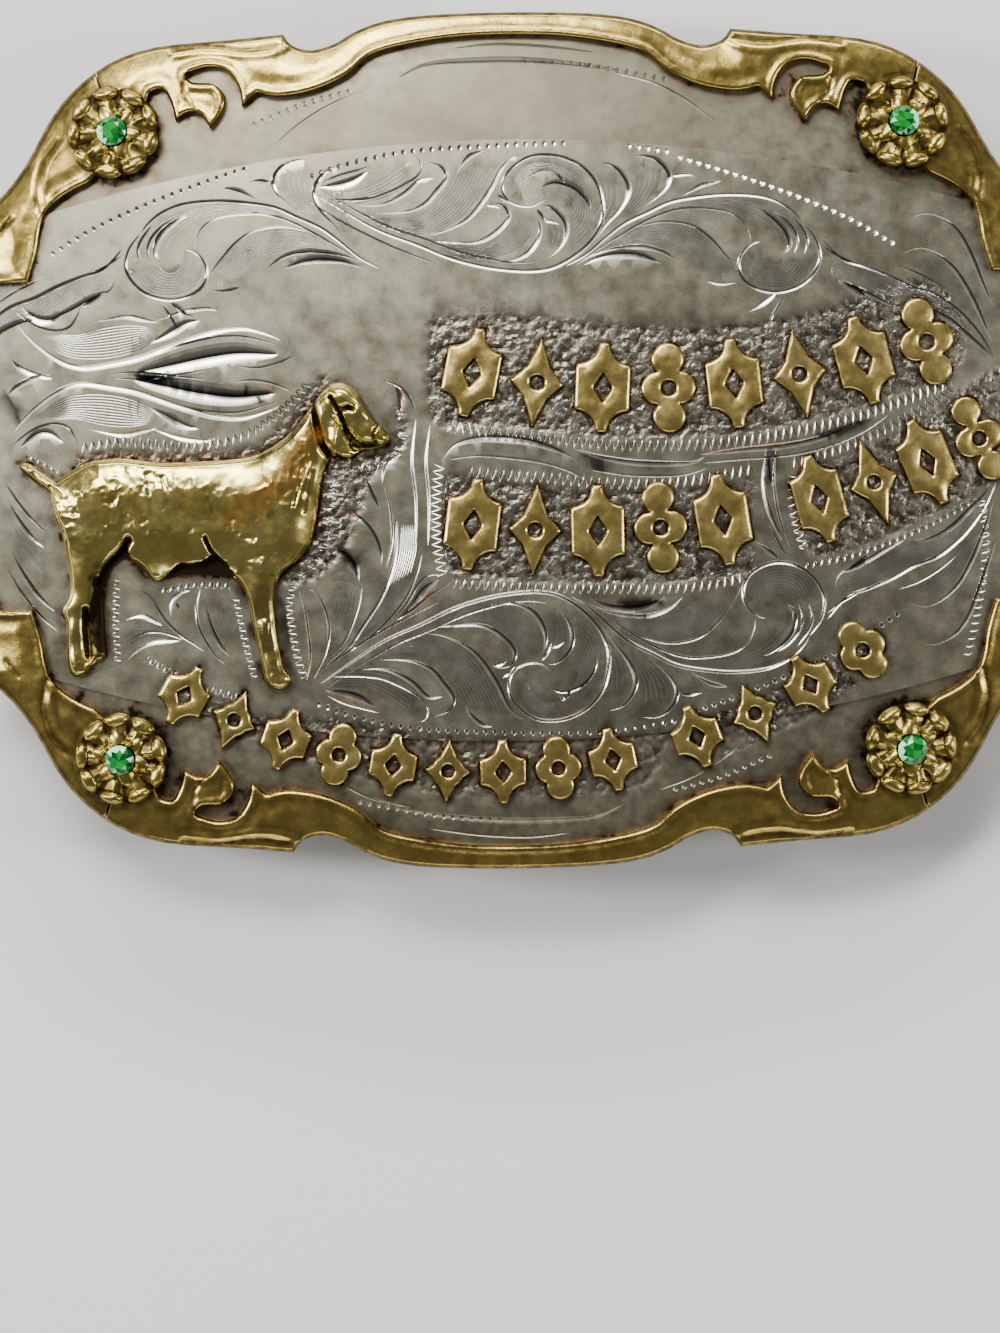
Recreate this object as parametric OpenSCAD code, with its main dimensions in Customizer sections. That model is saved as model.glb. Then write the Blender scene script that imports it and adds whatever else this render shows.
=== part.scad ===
// Western trophy buckle, lying face up on its belt loop and hook.
// +Z is the front, +X the wearer's left, +Y the top; the floor is z = 0.

/* [Plate] */
// Width of the whole buckle, over the side bulges
buckle_w = 114.3; // [112:0.1:117]
// Height of the whole buckle, over the top and bottom bulges
buckle_h = 85.8; // [84:0.1:88]
// Radius of the domed front
dome_r = 260; // [220:5:320]
// Thickness of the base plate
base_t = 1.0; // [0.8:0.1:1.4]
// Thickness of the engraved plate on top of it
engraved_t = 0.4; // [0.3:0.05:0.6]
// Height of the front of the base plate above the floor, at its middle
front_z = 15; // [14:0.5:17]

/* [Trim] */
// How far the cast trim stands above the base plate
trim_t = 1.4; // [1.1:0.1:1.8]
// How far the base plate stays inside the outer edge of the trim
plate_inset = 0.5; // [0.3:0.1:0.8]

/* [Flowers and stones] */
// Radius of a flower over its petals
flower_r = 4.75; // [4.4:0.05:5]
// Petals on each flower
petal_count = 9; // [8:1:10]
// Diameter of a stone
stone_d = 3; // [2.6:0.1:3.2]

/* [Raised work] */
// Height of the ornaments above the base plate
ornament_t = 1.2; // [1:0.1:1.5]
// Relief of the goat at its barrel
goat_t = 2.4; // [1.8:0.1:2.8]

/* [Back] */
// Width of the belt that passes round the loop
belt_w = 38; // [32:1:40]
// Diameter of the belt loop's wire
wire_d = 3; // [2.4:0.1:3.6]
// Distance of the loop's bar from the middle
loop_x = 35; // [32:1:38]
// Distance of the hook's foot from the middle
hook_x = 38; // [35:1:40]
// Diameter of the hook's post
hook_d = 4; // [3.4:0.1:4.6]
// Length of the thicker root that the belt stops against
hook_root = 3.6; // [3:0.2:4.4]
// Lean of the hook towards the loop, in degrees
hook_lean = 20; // [10:1:28]

/* [Hidden] */
// Clearance between two pieces that are soldered on the real buckle
gap = 0.06;
// Facets of the great spheres that form the dome
dome_fn = 360;
// Facets of the sphere that trims the faceted goat
goat_dome_fn = 200;
small_fn = 32;
seam_gap = 0.1;
belt_clearance = 0.5;
tall = 60;
bend_r = 2.5;
pad_r = 3.2;
pad_t = 0.8;
foot_r = 4.5;
foot_t = 1.4;
root_d = 5.2;

base_r = dome_r;
engraved_r = base_r + gap + engraved_t;
dome_z = front_z - dome_r;
half_w = buckle_w / 2;
half_h = buckle_h / 2;
// The outlines below are drawn for these half sizes and stretched to the ones asked for
drawn_half = [57.15, 42.9];

flower_at = [39.5, 31.35];
flower_seat_r = 4.2;
flower_t = 0.9;
girdle_z = 1.45;
table_share = 0.55;
crown_share = 0.32;
pavilion_share = 0.86;
culet_share = 0.08;
petal_ring = 0.73;
petal_share = 0.27;
bead_r = 0.42;
boss_r = 2.3;
prong_r = 0.4;
prong_ring = 1.8;

// Lower edge of the engraved plate: an arc about a point far above the middle
ledge_middle = [0, 131.2];
ledge_r = 161.3;
// Ends of the seam between two strips of trim, either side of the flower that hides it
seam_in = [35, 26.8];
seam_out = [43.6, 46];
far = 80;

// One quarter of the trim's outer edge, from the middle of the long side to the middle of the short side
outer_long = [[0, 42.9], [8, 42.7], [12.4, 42.15], [15.3, 41.1], [17.2, 40.0], [19.5, 39.35], [21.5, 39.85],
    [22.4, 41.0]];
outer_corner = [[22.4, 41.0], [28, 40.5], [35.3, 39.9], [40, 38.3], [43.6, 35.6], [46, 32.6], [48.2, 28.6],
    [50.6, 25.4], [53.6, 22.7]];
outer_short = [[53.6, 22.7], [52.6, 21.3], [52.2, 19.4], [52.8, 17.2], [54.4, 13.2], [56.2, 7.6], [57.15, 0]];

// The same quarter of its inner edge, in smooth runs that meet at leaf tips and notches
inner_long = [[0, 40.6], [4.7, 40.45], [8.5, 40.0], [12, 39.3], [14, 38.5], [15.7, 37.0], [17.7, 35.9],
    [20.2, 35.05], [23.2, 34.7], [25.7, 35.3]];
inner_hook = [[26.6, 33.85], [26.9, 35.7], [28.2, 37.4], [30.2, 37.75], [32.2, 37.1]];
inner_curl = [[32.2, 37.1], [31.6, 36.3], [29.5, 36.1], [28.25, 34.8], [28.6, 33.2], [29.8, 31.6]];
inner_leaf = [[29.8, 31.6], [30.7, 32.9], [31.9, 33.3], [33.3, 32.5]];
inner_cove = [[33.3, 32.5], [33.7, 34.2], [34.6, 35.6], [36.2, 35.2]];
inner_side = [[42.2, 26.3], [44.4, 25.2], [46.3, 23.6], [47.0, 21.8], [47.4, 19.4], [48.3, 16.4]];
inner_short = [[51.6, 16.3], [52.6, 13.8], [53.4, 10.4], [54, 5.6], [54.2, 0]];

// Rows of ornaments: middle of the arc, its radius, first angle, step, count and the size of an ornament
row_middle = 0;
row_radius = 1;
row_start = 2;
row_step = 3;
row_count = 4;
row_size = 5;
rows = [
    [[14, 95], 90, -11.5, 4.2, 8, [5.5, 9]],
    [[8, 80.8], 90, -7.7, 4.0, 5, [5.4, 9.2]],
    [[8, 80.8], 90, 14.6, 3.65, 4, [5.0, 9]],
    [[-2.1, 30.9], 64.1, -29, 4.95, 9, [4.7, 6.4]],
    [[-2.1, 30.9], 64.1, 18.4, 5.6, 4, [4.9, 6.4]],
];
row_names = ["top_ornament", "middle_ornament", "right_ornament", "low_ornament", "end_ornament"];

// The goat's chains of round swellings, in its own frame: x, y, half width, share of the full relief
goat_at = [-29.4, -6.6];
goat_turn = -0.75;
goat_chains = [
    // Barrel, from rump to chest
    [[-13.8, 1.0, 3.1, 0.8], [-11.0, 0.3, 4.6, 0.95], [-7.0, 0, 5.0, 1], [-3.0, 0, 4.9, 1], [1.0, 0, 5.1, 1],
        [4.4, -0.5, 5.1, 0.95]],
    // Neck, from chest to poll, and the face down to the muzzle
    [[5.2, 2.0, 4.4, 0.95], [7.2, 4.8, 3.0, 0.9], [8.3, 6.8, 2.2, 0.85], [9.2, 8.8, 1.5, 0.8],
        [11.3, 11.8, 0.9, 0.75], [13.0, 10.4, 1.6, 0.85], [14.2, 8.6, 1.6, 0.8], [15.8, 7.0, 0.95, 0.65]],
    // Hanging ear
    [[10.6, 10.8, 0.6, 0.9], [11.1, 8.5, 1.1, 1], [12.1, 6.4, 1.15, 0.95], [13.2, 5.5, 0.4, 0.7]],
    // Front leg
    [[3.8, -5.2, 2.9, 0.85], [3.8, -8.0, 1.55, 0.7], [4.3, -11.0, 1.15, 0.6], [5.0, -14.7, 1.05, 0.6],
        [5.9, -16.9, 1.15, 0.6]],
    // Near hind leg
    [[-13.8, 1.0, 3.1, 0.8], [-12.8, -3.0, 3.0, 0.85], [-13.4, -5.2, 2.0, 0.75], [-13.9, -7.8, 1.1, 0.6],
        [-14.7, -10.1, 1.05, 0.6], [-14.6, -13.5, 0.8, 0.55], [-14.1, -15.7, 0.95, 0.55]],
    // Far hind leg
    [[-12.8, -6.6, 0.8, 0.4], [-12.6, -10.5, 0.5, 0.3], [-12.45, -13.5, 0.5, 0.3], [-12.4, -14.7, 0.65, 0.35]],
    // Tail
    [[-16.2, 2.4, 0.5, 0.4], [-18.0, 3.3, 0.45, 0.4], [-19.4, 4.3, 0.4, 0.35], [-20.2, 4.6, 0.3, 0.3]],
    // Udder
    [[-7.2, -5.3, 1.5, 0.6], [-6.2, -6.2, 0.8, 0.5]],
];
goat_fn = 16;

trim_names = ["trim_bottom", "trim_top", "trim_left", "trim_right"];
corners = [[-1, -1], [1, -1], [-1, 1], [1, 1]];
corner_names = ["bottom_left", "bottom_right", "top_left", "top_right"];
flower_names = [for (c = corner_names) str("flower_", c)];
stone_names = [for (c = corner_names) str("stone_", c)];
ornament_names = [for (r = [0 : len(rows) - 1]) for (i = [1 : rows[r][row_count]]) str(row_names[r], "_", i)];

// Curves

// A point of the smooth curve that runs through b and c, with a and d before and after them
function curve_point(a, b, c, d, t) =
    0.5 * (2 * b + (c - a) * t + (2 * a - 5 * b + 4 * c - d) * t * t + (3 * b - a - 3 * c + d) * t * t * t);

// A smooth run through the points; before and after steer its ends, and the last point is left out
function run(points, before, after, steps = 3) =
    let (all = concat([before], points, [after]))
    [for (i = [1 : len(points) - 1]) for (k = [0 : steps - 1])
        curve_point(all[i - 1], all[i], all[i + 1], all[i + 2], k / steps)];

function last(points) = points[len(points) - 1];
function free_run(points) = run(points, points[0], last(points));
function backwards(points) = [for (i = [len(points) - 1 : -1 : 0]) points[i]];
function flipped(points, sx, sy) = [for (p = points) [p[0] * sx, p[1] * sy]];
function before_last(points) = points[len(points) - 2];

// Runs from the middle of a long side, through the corner, to the middle of a short side
function from_long(points) = run(points, flipped(points, -1, 1)[1], last(points));
function to_short(points) = concat(run(points, points[0], flipped([before_last(points)], 1, -1)[0]), [last(points)]);

// A quarter outline stretched to the size asked for
function stretched(points) = [for (p = points) [p[0] * half_w / drawn_half[0], p[1] * half_h / drawn_half[1]]];

// A closed outline from its quarter: mirrored to a right half, and that to the left
function closed_outline(q) =
    let (below = flipped(backwards(q), 1, -1), right = concat(q, [for (i = [1 : len(q) - 1]) below[i]]))
    concat(right, [for (i = [len(right) - 2 : -1 : 1]) [-right[i][0], right[i][1]]]);

// Inner side of the pad that carries a flower
seat_arc = [for (a = [140 : 15 : 290]) flower_at + flower_seat_r * [cos(a), sin(a)]];

outer_quarter = stretched(concat(from_long(outer_long), free_run(outer_corner), to_short(outer_short)));
inner_quarter = stretched(concat(from_long(inner_long), free_run(inner_hook), free_run(inner_curl),
    free_run(inner_leaf), free_run(inner_cove), seat_arc, free_run(inner_side), [last(inner_side)],
    to_short(inner_short)));

// Dome

// A ball about the middle of the dome
module dome_ball(r, fn = dome_fn) {
    translate([0, 0, dome_z]) sphere(r = r, $fn = fn);
}

// A flat drawing raised into a layer of the dome
module dome_layer(low_r, high_r) {
    difference() {
        intersection() {
            linear_extrude(tall) children();
            dome_ball(high_r);
        }
        dome_ball(low_r);
    }
}

// Moves to a point of a ball about the dome's middle, with +Z straight out of it
module on_dome(at, r) {
    translate([0, 0, dome_z]) rotate([0, 0, atan2(at[1], at[0])]) rotate([0, asin(norm(at) / r), 0])
        translate([0, 0, r]) children();
}

// A drawing raised on the base plate, cut away underneath where the engraved plate lies
module raised(thickness) {
    difference() {
        dome_layer(base_r + gap, base_r + thickness) children();
        intersection() {
            linear_extrude(tall) engraved_outline(gap);
            dome_ball(engraved_r + gap);
        }
    }
}

// Plates

module outline(inset = 0) {
    polygon(closed_outline([for (p = outer_quarter) p * (1 - inset / norm(p))]));
}

// The engraved plate reaches under the trim, and ends in the same arc at the top and the bottom
module engraved_outline(clear = 0) {
    intersection() {
        outline(3 * plate_inset - clear);
        translate(ledge_middle) circle(r = ledge_r + clear, $fn = dome_fn);
        translate(-ledge_middle) circle(r = ledge_r + clear, $fn = dome_fn);
    }
}

module base_plate() {
    color("silver") dome_layer(base_r - base_t, base_r) outline(plate_inset);
}

module engraved_plate() {
    color("gainsboro") dome_layer(base_r + gap, engraved_r) engraved_outline();
}

// Trim

// The whole trim as one flat ring, with the pads that carry the flowers
module trim_ring() {
    difference() {
        outline();
        polygon(closed_outline(inner_quarter));
    }
}

// What lies between the seams of the top or bottom strip, and of a side strip
module long_strip_field(side) {
    polygon(flipped([[-seam_out[0], seam_out[1]], [-flower_at[0], flower_at[1]], [-seam_in[0], seam_in[1]], seam_in,
        flower_at, seam_out], 1, side));
}

module short_strip_field(side) {
    translate([side * seam_gap, 0]) polygon(flipped([seam_in, flower_at, seam_out, [far, seam_out[1]],
        [far, -seam_out[1]], flipped([seam_out], 1, -1)[0], flipped([flower_at], 1, -1)[0],
        flipped([seam_in], 1, -1)[0]], side, 1));
}

module trim(i) {
    color("goldenrod") raised(trim_t) intersection() {
        trim_ring();
        if (i < 2) long_strip_field(i == 0 ? -1 : 1);
        else short_strip_field(i == 2 ? -1 : 1);
    }
}

// Flowers and stones

module around(count, radius) {
    for (k = [0 : count - 1]) rotate(360 * (k + 0.5) / count) translate([radius, 0, 0]) children();
}

module flower(c) {
    petal_r = petal_share * flower_r;
    color("gold") on_dome([c[0] * flower_at[0], c[1] * flower_at[1]], base_r + trim_t + gap) difference() {
        union() {
            cylinder(r = petal_ring * flower_r, h = flower_t - 0.3, $fn = small_fn);
            around(petal_count, petal_ring * flower_r) {
                cylinder(r = petal_r, h = flower_t, $fn = small_fn);
                translate([petal_r - 1.5 * bead_r, 0, flower_t]) sphere(r = bead_r, $fn = small_fn);
            }
            cylinder(r = boss_r, h = girdle_z, $fn = small_fn);
            around(4, prong_ring) translate([0, 0, girdle_z]) sphere(r = prong_r, $fn = small_fn);
        }
        translate([0, 0, gap]) cylinder(r = stone_d / 2 + gap, h = tall, $fn = small_fn);
    }
}

// Round stone with eight facets above and eight below the girdle, and a flat table
module stone(c) {
    r = stone_d / 2;
    color("limegreen") on_dome([c[0] * flower_at[0], c[1] * flower_at[1]], base_r + trim_t + gap)
        translate([0, 0, girdle_z]) {
            cylinder(r1 = r, r2 = table_share * r, h = crown_share * r, $fn = 8);
            mirror([0, 0, 1]) cylinder(r1 = r, r2 = culet_share * r, h = pavilion_share * r, $fn = 8);
        }
}

// Goat

// A round swelling that stands h above the engraved plate where it is a wide each way
module swelling(s) {
    a = s[2];
    h = s[3] * goat_t;
    r = (a * a + h * h) / (2 * h);
    at = goat_at + [s[0] * cos(goat_turn) - s[1] * sin(goat_turn), s[0] * sin(goat_turn) + s[1] * cos(goat_turn)];
    on_dome(at, engraved_r + gap + h - r) sphere(r = r, $fn = goat_fn);
}

module goat_figure() {
    color("darkgoldenrod") difference() {
        for (chain = goat_chains) for (i = [1 : len(chain) - 1]) hull() {
            swelling(chain[i - 1]);
            swelling(chain[i]);
        }
        dome_ball(engraved_r + 2 * gap, goat_dome_fn);
    }
}

// Rows of ornaments

// A plaque with scooped corners and a pierced diamond
module plaque(size) {
    difference() {
        square(size, center = true);
        for (x = [-1, 1]) for (y = [-1, 1])
            translate([x * size[0] / 2, y * size[1] / 2]) circle(r = 0.4 * size[0], $fn = small_fn);
        diamond(0.16 * size);
    }
}

module diamond(half) {
    polygon([[half[0], 0], [0, half[1]], [-half[0], 0], [0, -half[1]]]);
}

// A clover of four round leaves, pierced in the middle
module clover(size) {
    leaf_r = 0.3 * size[0];
    difference() {
        union() {
            circle(r = 1.15 * leaf_r, $fn = small_fn);
            for (s = [-1, 1]) {
                translate([s * (size[0] / 2 - leaf_r), 0]) circle(r = leaf_r, $fn = small_fn);
                translate([0, s * (size[1] / 2 - leaf_r)]) circle(r = leaf_r, $fn = small_fn);
            }
        }
        circle(r = 0.45 * leaf_r, $fn = small_fn);
    }
}

// A four-pointed star about a pierced disc
module star(size) {
    difference() {
        union() {
            circle(r = 0.36 * size[0], $fn = small_fn);
            diamond([0.5 * size[0], 0.3 * size[1]]);
            diamond([0.34 * size[0], 0.5 * size[1]]);
        }
        circle(r = 0.13 * size[0], $fn = small_fn);
    }
}

module ornament(r, i) {
    row = rows[r];
    a = row[row_start] + i * row[row_step];
    at = row[row_middle] + row[row_radius] * [sin(a), -cos(a)];
    color("goldenrod") raised(ornament_t) translate(at) rotate(a) {
        if (i % 2 == 0) plaque(row[row_size]);
        else if (i % 4 == 1) star(row[row_size]);
        else clover(row[row_size]);
    }
}

// Back

// Keeps what lies behind the base plate
module behind_plate() {
    intersection() {
        children();
        dome_ball(base_r - base_t - gap);
    }
}

// A wire staple: a bar along the buckle's height, two bends and two legs, each on a soldered pad
module belt_loop() {
    leg_y = (belt_w + belt_clearance + wire_d) / 2;
    color("gray") behind_plate() {
        translate([loop_x, 0, wire_d / 2]) rotate([90, 0, 0])
            cylinder(d = wire_d, h = 2 * (leg_y - bend_r), center = true, $fn = small_fn);
        for (s = [-1, 1]) {
            translate([loop_x, s * (leg_y - bend_r), wire_d / 2 + bend_r]) rotate([0, 90, 0]) rotate(s > 0 ? 0 : -90)
                rotate_extrude(angle = 90, $fn = small_fn) translate([bend_r, 0]) circle(d = wire_d, $fn = small_fn);
            translate([loop_x, s * leg_y, wire_d / 2 + bend_r]) cylinder(d = wire_d, h = front_z, $fn = small_fn);
            translate([loop_x, s * leg_y, back_z(loop_x, leg_y) - pad_t]) cylinder(r = pad_r, h = front_z, $fn = small_fn);
        }
    }
}

// A post with a thicker root and a round end, on a soldered foot, leaning towards the loop
module hook_post() {
    foot_z = back_z(hook_x, 0);
    color("gray") behind_plate() {
        translate([-hook_x, 0, foot_z - foot_t]) cylinder(r = foot_r, h = front_z, $fn = small_fn);
        translate([-hook_x, 0, foot_z]) rotate([0, 180 - hook_lean, 0]) {
            translate([0, 0, -root_d]) cylinder(d = root_d, h = root_d + hook_root, $fn = small_fn);
            cylinder(d = hook_d, h = hook_l(foot_z), $fn = small_fn);
            translate([0, 0, hook_l(foot_z)]) sphere(d = hook_d, $fn = small_fn);
        }
    }
}

function back_z(x, y) = dome_z + sqrt(pow(base_r - base_t, 2) - x * x - y * y);
function hook_l(foot_z) = (foot_z - hook_d / 2) / cos(hook_lean);

base_plate();
engraved_plate();
for (i = [0 : 3]) trim(i);
for (i = [0 : 3]) flower(corners[i]);
for (i = [0 : 3]) stone(corners[i]);
goat_figure();
for (r = [0 : len(rows) - 1]) for (i = [0 : rows[r][row_count] - 1])
    ornament(r, i);
belt_loop();
hook_post();
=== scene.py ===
# Western trophy buckle: every surface that shows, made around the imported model.
# Lengths are millimetres until a mesh is written; +Z is the front and +Y the top.
import math

import bpy
import numpy as np
from mathutils import Matrix, Vector
from mathutils.geometry import delaunay_2d_cdt


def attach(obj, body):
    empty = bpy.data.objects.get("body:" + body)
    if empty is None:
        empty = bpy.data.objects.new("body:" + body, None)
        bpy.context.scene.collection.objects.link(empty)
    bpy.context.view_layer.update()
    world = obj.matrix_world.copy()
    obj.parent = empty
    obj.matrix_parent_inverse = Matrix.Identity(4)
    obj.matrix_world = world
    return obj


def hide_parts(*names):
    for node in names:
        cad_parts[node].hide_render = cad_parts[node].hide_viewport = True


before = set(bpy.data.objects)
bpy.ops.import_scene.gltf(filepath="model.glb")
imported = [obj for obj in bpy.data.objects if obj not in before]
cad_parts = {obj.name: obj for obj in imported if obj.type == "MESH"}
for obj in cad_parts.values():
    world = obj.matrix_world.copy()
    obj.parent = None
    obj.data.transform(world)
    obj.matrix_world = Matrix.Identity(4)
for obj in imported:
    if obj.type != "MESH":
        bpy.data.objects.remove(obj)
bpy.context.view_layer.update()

buckle = {
    "domeRadius": 260.0,  # front of the base plate
    "frontHeight": 15.0,  # the same front above the floor, at the middle
    "baseThickness": 1.0,
    "engravedThickness": 0.4,
    "clearance": 0.06,  # between pieces that are soldered on the real buckle
    "trimHeight": 1.4,
    "ornamentHeight": 1.2,
    "figureHeight": 2.4,
    "flowerPlace": (39.5, 31.35),
    "flowerRadius": 4.75,
    "petals": 9,
    "stoneWidth": 3.0,
}
millimetre = 0.001
domeMiddle = buckle["frontHeight"] - buckle["domeRadius"]
gap = buckle["clearance"]
baseRadius = buckle["domeRadius"]
engravedRadius = baseRadius + gap + buckle["engravedThickness"]

# The drawing sheet is the picture's frame: millimetres right and down from its upper left corner.
# The buckle's middle lies on it at "middle", and the buckle is turned on it by that many degrees.
sheet = {"middle": (51.2, 44.0), "turn": 0.75, "size": (100.0, 133.3)}


# From the sheet to the buckle: take the middle away, turn y up, and undo the turn
def onBuckle(points):
    p = (np.asarray(points, float) - sheet["middle"]) * (1, -1)
    c, s = math.cos(math.radians(sheet["turn"])), math.sin(math.radians(sheet["turn"]))
    return np.stack([p[:, 0] * c + p[:, 1] * s, p[:, 1] * c - p[:, 0] * s], 1)


# A new object in the scene, at the origin
def placed(name, data):
    thing = bpy.data.objects.new(name, data)
    bpy.context.scene.collection.objects.link(thing)
    return thing


# Camera and light

cameraSetup = {"distance": 2000.0, "sensor": 36.0}  # from the plate's front, and the sensor's longer side


# Looks straight down at the middle of the sheet, so that the sheet's long side fills the picture's long side
def makeCamera():
    aim = onBuckle([np.array(sheet["size"]) / 2])[0]
    data = bpy.data.cameras.new("camera")
    data.sensor_width = cameraSetup["sensor"]
    data.lens = cameraSetup["sensor"] * cameraSetup["distance"] / sheet["size"][1]
    place = Vector((aim[0], aim[1], engravedRadius + domeMiddle + cameraSetup["distance"])) * millimetre
    camera = placed("camera", data)
    camera.matrix_world = Matrix.Translation(place) @ Matrix.Rotation(-math.radians(sheet["turn"]), 4, "Z")
    bpy.context.scene.camera = camera


# Each lamp: where it hangs, in metres, its width and length, and its power in watts
lamps = {
    "overhead": {"place": (-0.20, 0.46, 0.80), "size": (0.46, 0.22), "power": 7.0},
    "topStrip": {"place": (0.0, 0.95, 0.55), "size": (1.10, 0.22), "power": 10.0},
    "leftStrip": {"place": (-0.85, 0.10, 0.50), "size": (0.18, 0.80), "power": 9.0},
    "rightStrip": {"place": (0.90, -0.05, 0.46), "size": (0.12, 0.75), "power": 5.5},
    "lowFill": {"place": (0.05, -0.95, 0.40), "size": (0.95, 0.14), "power": 2.2},
}
worldLight = {"colour": (1.0, 0.99, 0.965, 1), "strength": 0.15}


# Every lamp is a rectangle that faces the buckle's middle, and a faint even light comes from all round
def makeLights():
    for name, lamp in lamps.items():
        data = bpy.data.lights.new(name, "AREA")
        data.shape = "RECTANGLE"
        data.size, data.size_y = lamp["size"]
        data.energy = lamp["power"]
        light = placed(name, data)
        light.location = lamp["place"]
        light.rotation_euler = (Vector() - light.location).to_track_quat("-Z", "Y").to_euler()
    world = bpy.data.worlds.new("studio")
    world.use_nodes = True
    ground = world.node_tree.nodes["Background"]
    ground.inputs["Color"].default_value = worldLight["colour"]
    ground.inputs["Strength"].default_value = worldLight["strength"]
    bpy.context.scene.world = world


makeCamera()
makeLights()
print("camera and light are up")


# Curves and outlines

# Smooth run through all the points: between two of them a cubic, whose slope at each is half the step over it
def smoothRun(points, steps):
    p = np.asarray(points, float)
    a = np.concatenate([[2 * p[0] - p[1]], p, [2 * p[-1] - p[-2]]])
    t = np.linspace(0, 1, steps, endpoint=False)[None, :, None]
    b, c, d, e = a[:-3, None], a[1:-2, None], a[2:-1, None], a[3:, None]
    square, cube = 2 * b - 5 * c + 4 * d - e, 3 * c - b - 3 * d + e
    curve = 0.5 * (2 * c + (d - b) * t + square * t ** 2 + cube * t ** 3)
    return np.concatenate([curve.reshape(-1, 2), p[-1:]])


# The same line with points at even steps of about that spacing
def evenly(line, spacing, least=2):
    along = np.concatenate([[0], np.cumsum(np.linalg.norm(np.diff(line, axis=0), axis=1))])
    count = max(least, int(round(along[-1] / spacing)) + 1)
    s = np.linspace(0, along[-1], count)
    return np.stack([np.interp(s, along, line[:, 0]), np.interp(s, along, line[:, 1])], 1)


# A closed loop made smooth between its sharp corners, where it bends by more than that many degrees
def smoothLoop(loop, spacing, corner=34.0, steps=5):
    before, after = loop - np.roll(loop, 1, 0), np.roll(loop, -1, 0) - loop
    cross = before[:, 0] * after[:, 1] - before[:, 1] * after[:, 0]
    bend = np.degrees(np.abs(np.arctan2(cross, (before * after).sum(1))))
    sharp = np.flatnonzero(bend > corner)
    if len(sharp) == 0:
        wrapped = np.concatenate([loop[-2:], loop, loop[:3]])
        return evenly(smoothRun(wrapped, steps)[2 * steps:-2 * steps], spacing)[:-1]
    loop = np.roll(loop, -sharp[0], 0)
    ends = np.append(sharp - sharp[0], len(loop))
    closed = np.concatenate([loop, loop[:1]])
    runs = [closed[a:b + 1] for a, b in zip(ends[:-1], ends[1:])]
    return np.concatenate([evenly(smoothRun(r, steps) if len(r) > 2 else r, spacing)[:-1] for r in runs])


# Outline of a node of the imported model, seen from the front: the border of its faces that look up, followed
# from point to point until it closes. "upward" is the least share of a face's normal that points up
def nodeOutline(name, spacing, upward=0.6):
    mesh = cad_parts[name].data
    co = np.zeros(len(mesh.vertices) * 3, np.float32)
    mesh.vertices.foreach_get("co", co)
    co = np.round(co.reshape(-1, 3) / millimetre, 3)
    unique, same = np.unique(co, axis=0, return_inverse=True)
    mesh.calc_loop_triangles()
    tris = np.zeros(len(mesh.loop_triangles) * 3, np.int32)
    mesh.loop_triangles.foreach_get("vertices", tris)
    tris = same.ravel()[tris].reshape(-1, 3)
    a, b, c = (unique[tris[:, k]] for k in range(3))
    normal = np.cross(b - a, c - a)
    tris = tris[normal[:, 2] > upward * np.linalg.norm(normal, axis=1)]
    follow = dict(borderOf(tris, len(unique)).tolist())
    loops = []
    while follow:
        walk, at = [], next(iter(follow))
        while at in follow:
            walk.append(at)
            at = follow.pop(at)
        loops.append(smoothLoop(unique[walk][:, :2], spacing))
    return loops


# Edges that only one triangle has, in that triangle's own direction
def borderOf(tris, count):
    edges = np.concatenate([tris[:, [0, 1]], tris[:, [1, 2]], tris[:, [2, 0]]]).astype(np.int64)
    alone = ~np.isin(edges[:, 0] * count + edges[:, 1], edges[:, 1] * count + edges[:, 0])
    return edges[alone]


# Sides of closed loops, each as its two ends
def segmentsOf(loops):
    return np.concatenate([np.stack([l, np.roll(l, -1, 0)], 1) for l in loops])


# Sides of an open line, each as its two ends
def stretchesOf(line):
    return np.stack([line[:-1], line[1:]], 1)


# Unit vectors to the left of each step
def leftOf(step):
    return np.stack([-step[:, 1], step[:, 0]], 1) / np.maximum(np.linalg.norm(step, axis=1), 1e-9)[:, None]


# Even and odd crossings of a ray to the right tell which points lie inside the loops
def inside(points, loops, batch=1500):
    every = segmentsOf(loops)
    low, high = every[:, :, 1].min(1), every[:, :, 1].max(1)
    found = np.zeros(len(points), bool)
    order = np.argsort(points[:, 1])
    for rows in np.array_split(order, len(order) // batch + 1):
        if len(rows) == 0:
            continue
        x, y = points[rows, 0, None], points[rows, 1, None]
        s = every[(high >= y.min()) & (low <= y.max())]
        spans = (s[:, 0, 1] > y) != (s[:, 1, 1] > y)
        rise = np.where(s[:, 1, 1] == s[:, 0, 1], 1, s[:, 1, 1] - s[:, 0, 1])
        at = s[:, 0, 0] + (y - s[:, 0, 1]) * (s[:, 1, 0] - s[:, 0, 0]) / rise
        found[rows] = (spans & (x < at)).sum(1) % 2 == 1
    return found


# Distance of each point to the nearest of the segments. Points are taken square by square, each with only the
# segments that can be nearest to something in that square
def distanceTo(points, segments, square=3.0):
    a, along = segments[:, 0], segments[:, 1] - segments[:, 0]
    length = np.maximum((along ** 2).sum(1), 1e-12)
    middle, span = segments.mean(1), math.sqrt(length.max()) / 2
    cell = np.floor(points / square).astype(int)
    _, key = np.unique(cell[:, 0] * 4096 + cell[:, 1], return_inverse=True)  # one number for each square
    order = np.argsort(key, kind="stable")
    nearest = np.empty(len(points))
    for rows in np.split(order, np.flatnonzero(np.diff(key[order])) + 1):
        if len(rows) == 0:
            continue
        away = np.linalg.norm(middle - (cell[rows[0]] + 0.5) * square, axis=1)
        use = away <= away.min() + 1.42 * square + span  # a little over the square's diagonal
        rel = points[rows, None] - a[use]
        t = np.clip((rel * along[use]).sum(2) / length[use], 0, 1)
        nearest[rows] = np.sqrt(((rel - t[..., None] * along[use]) ** 2).sum(2)).min(1)
    return nearest


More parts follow.
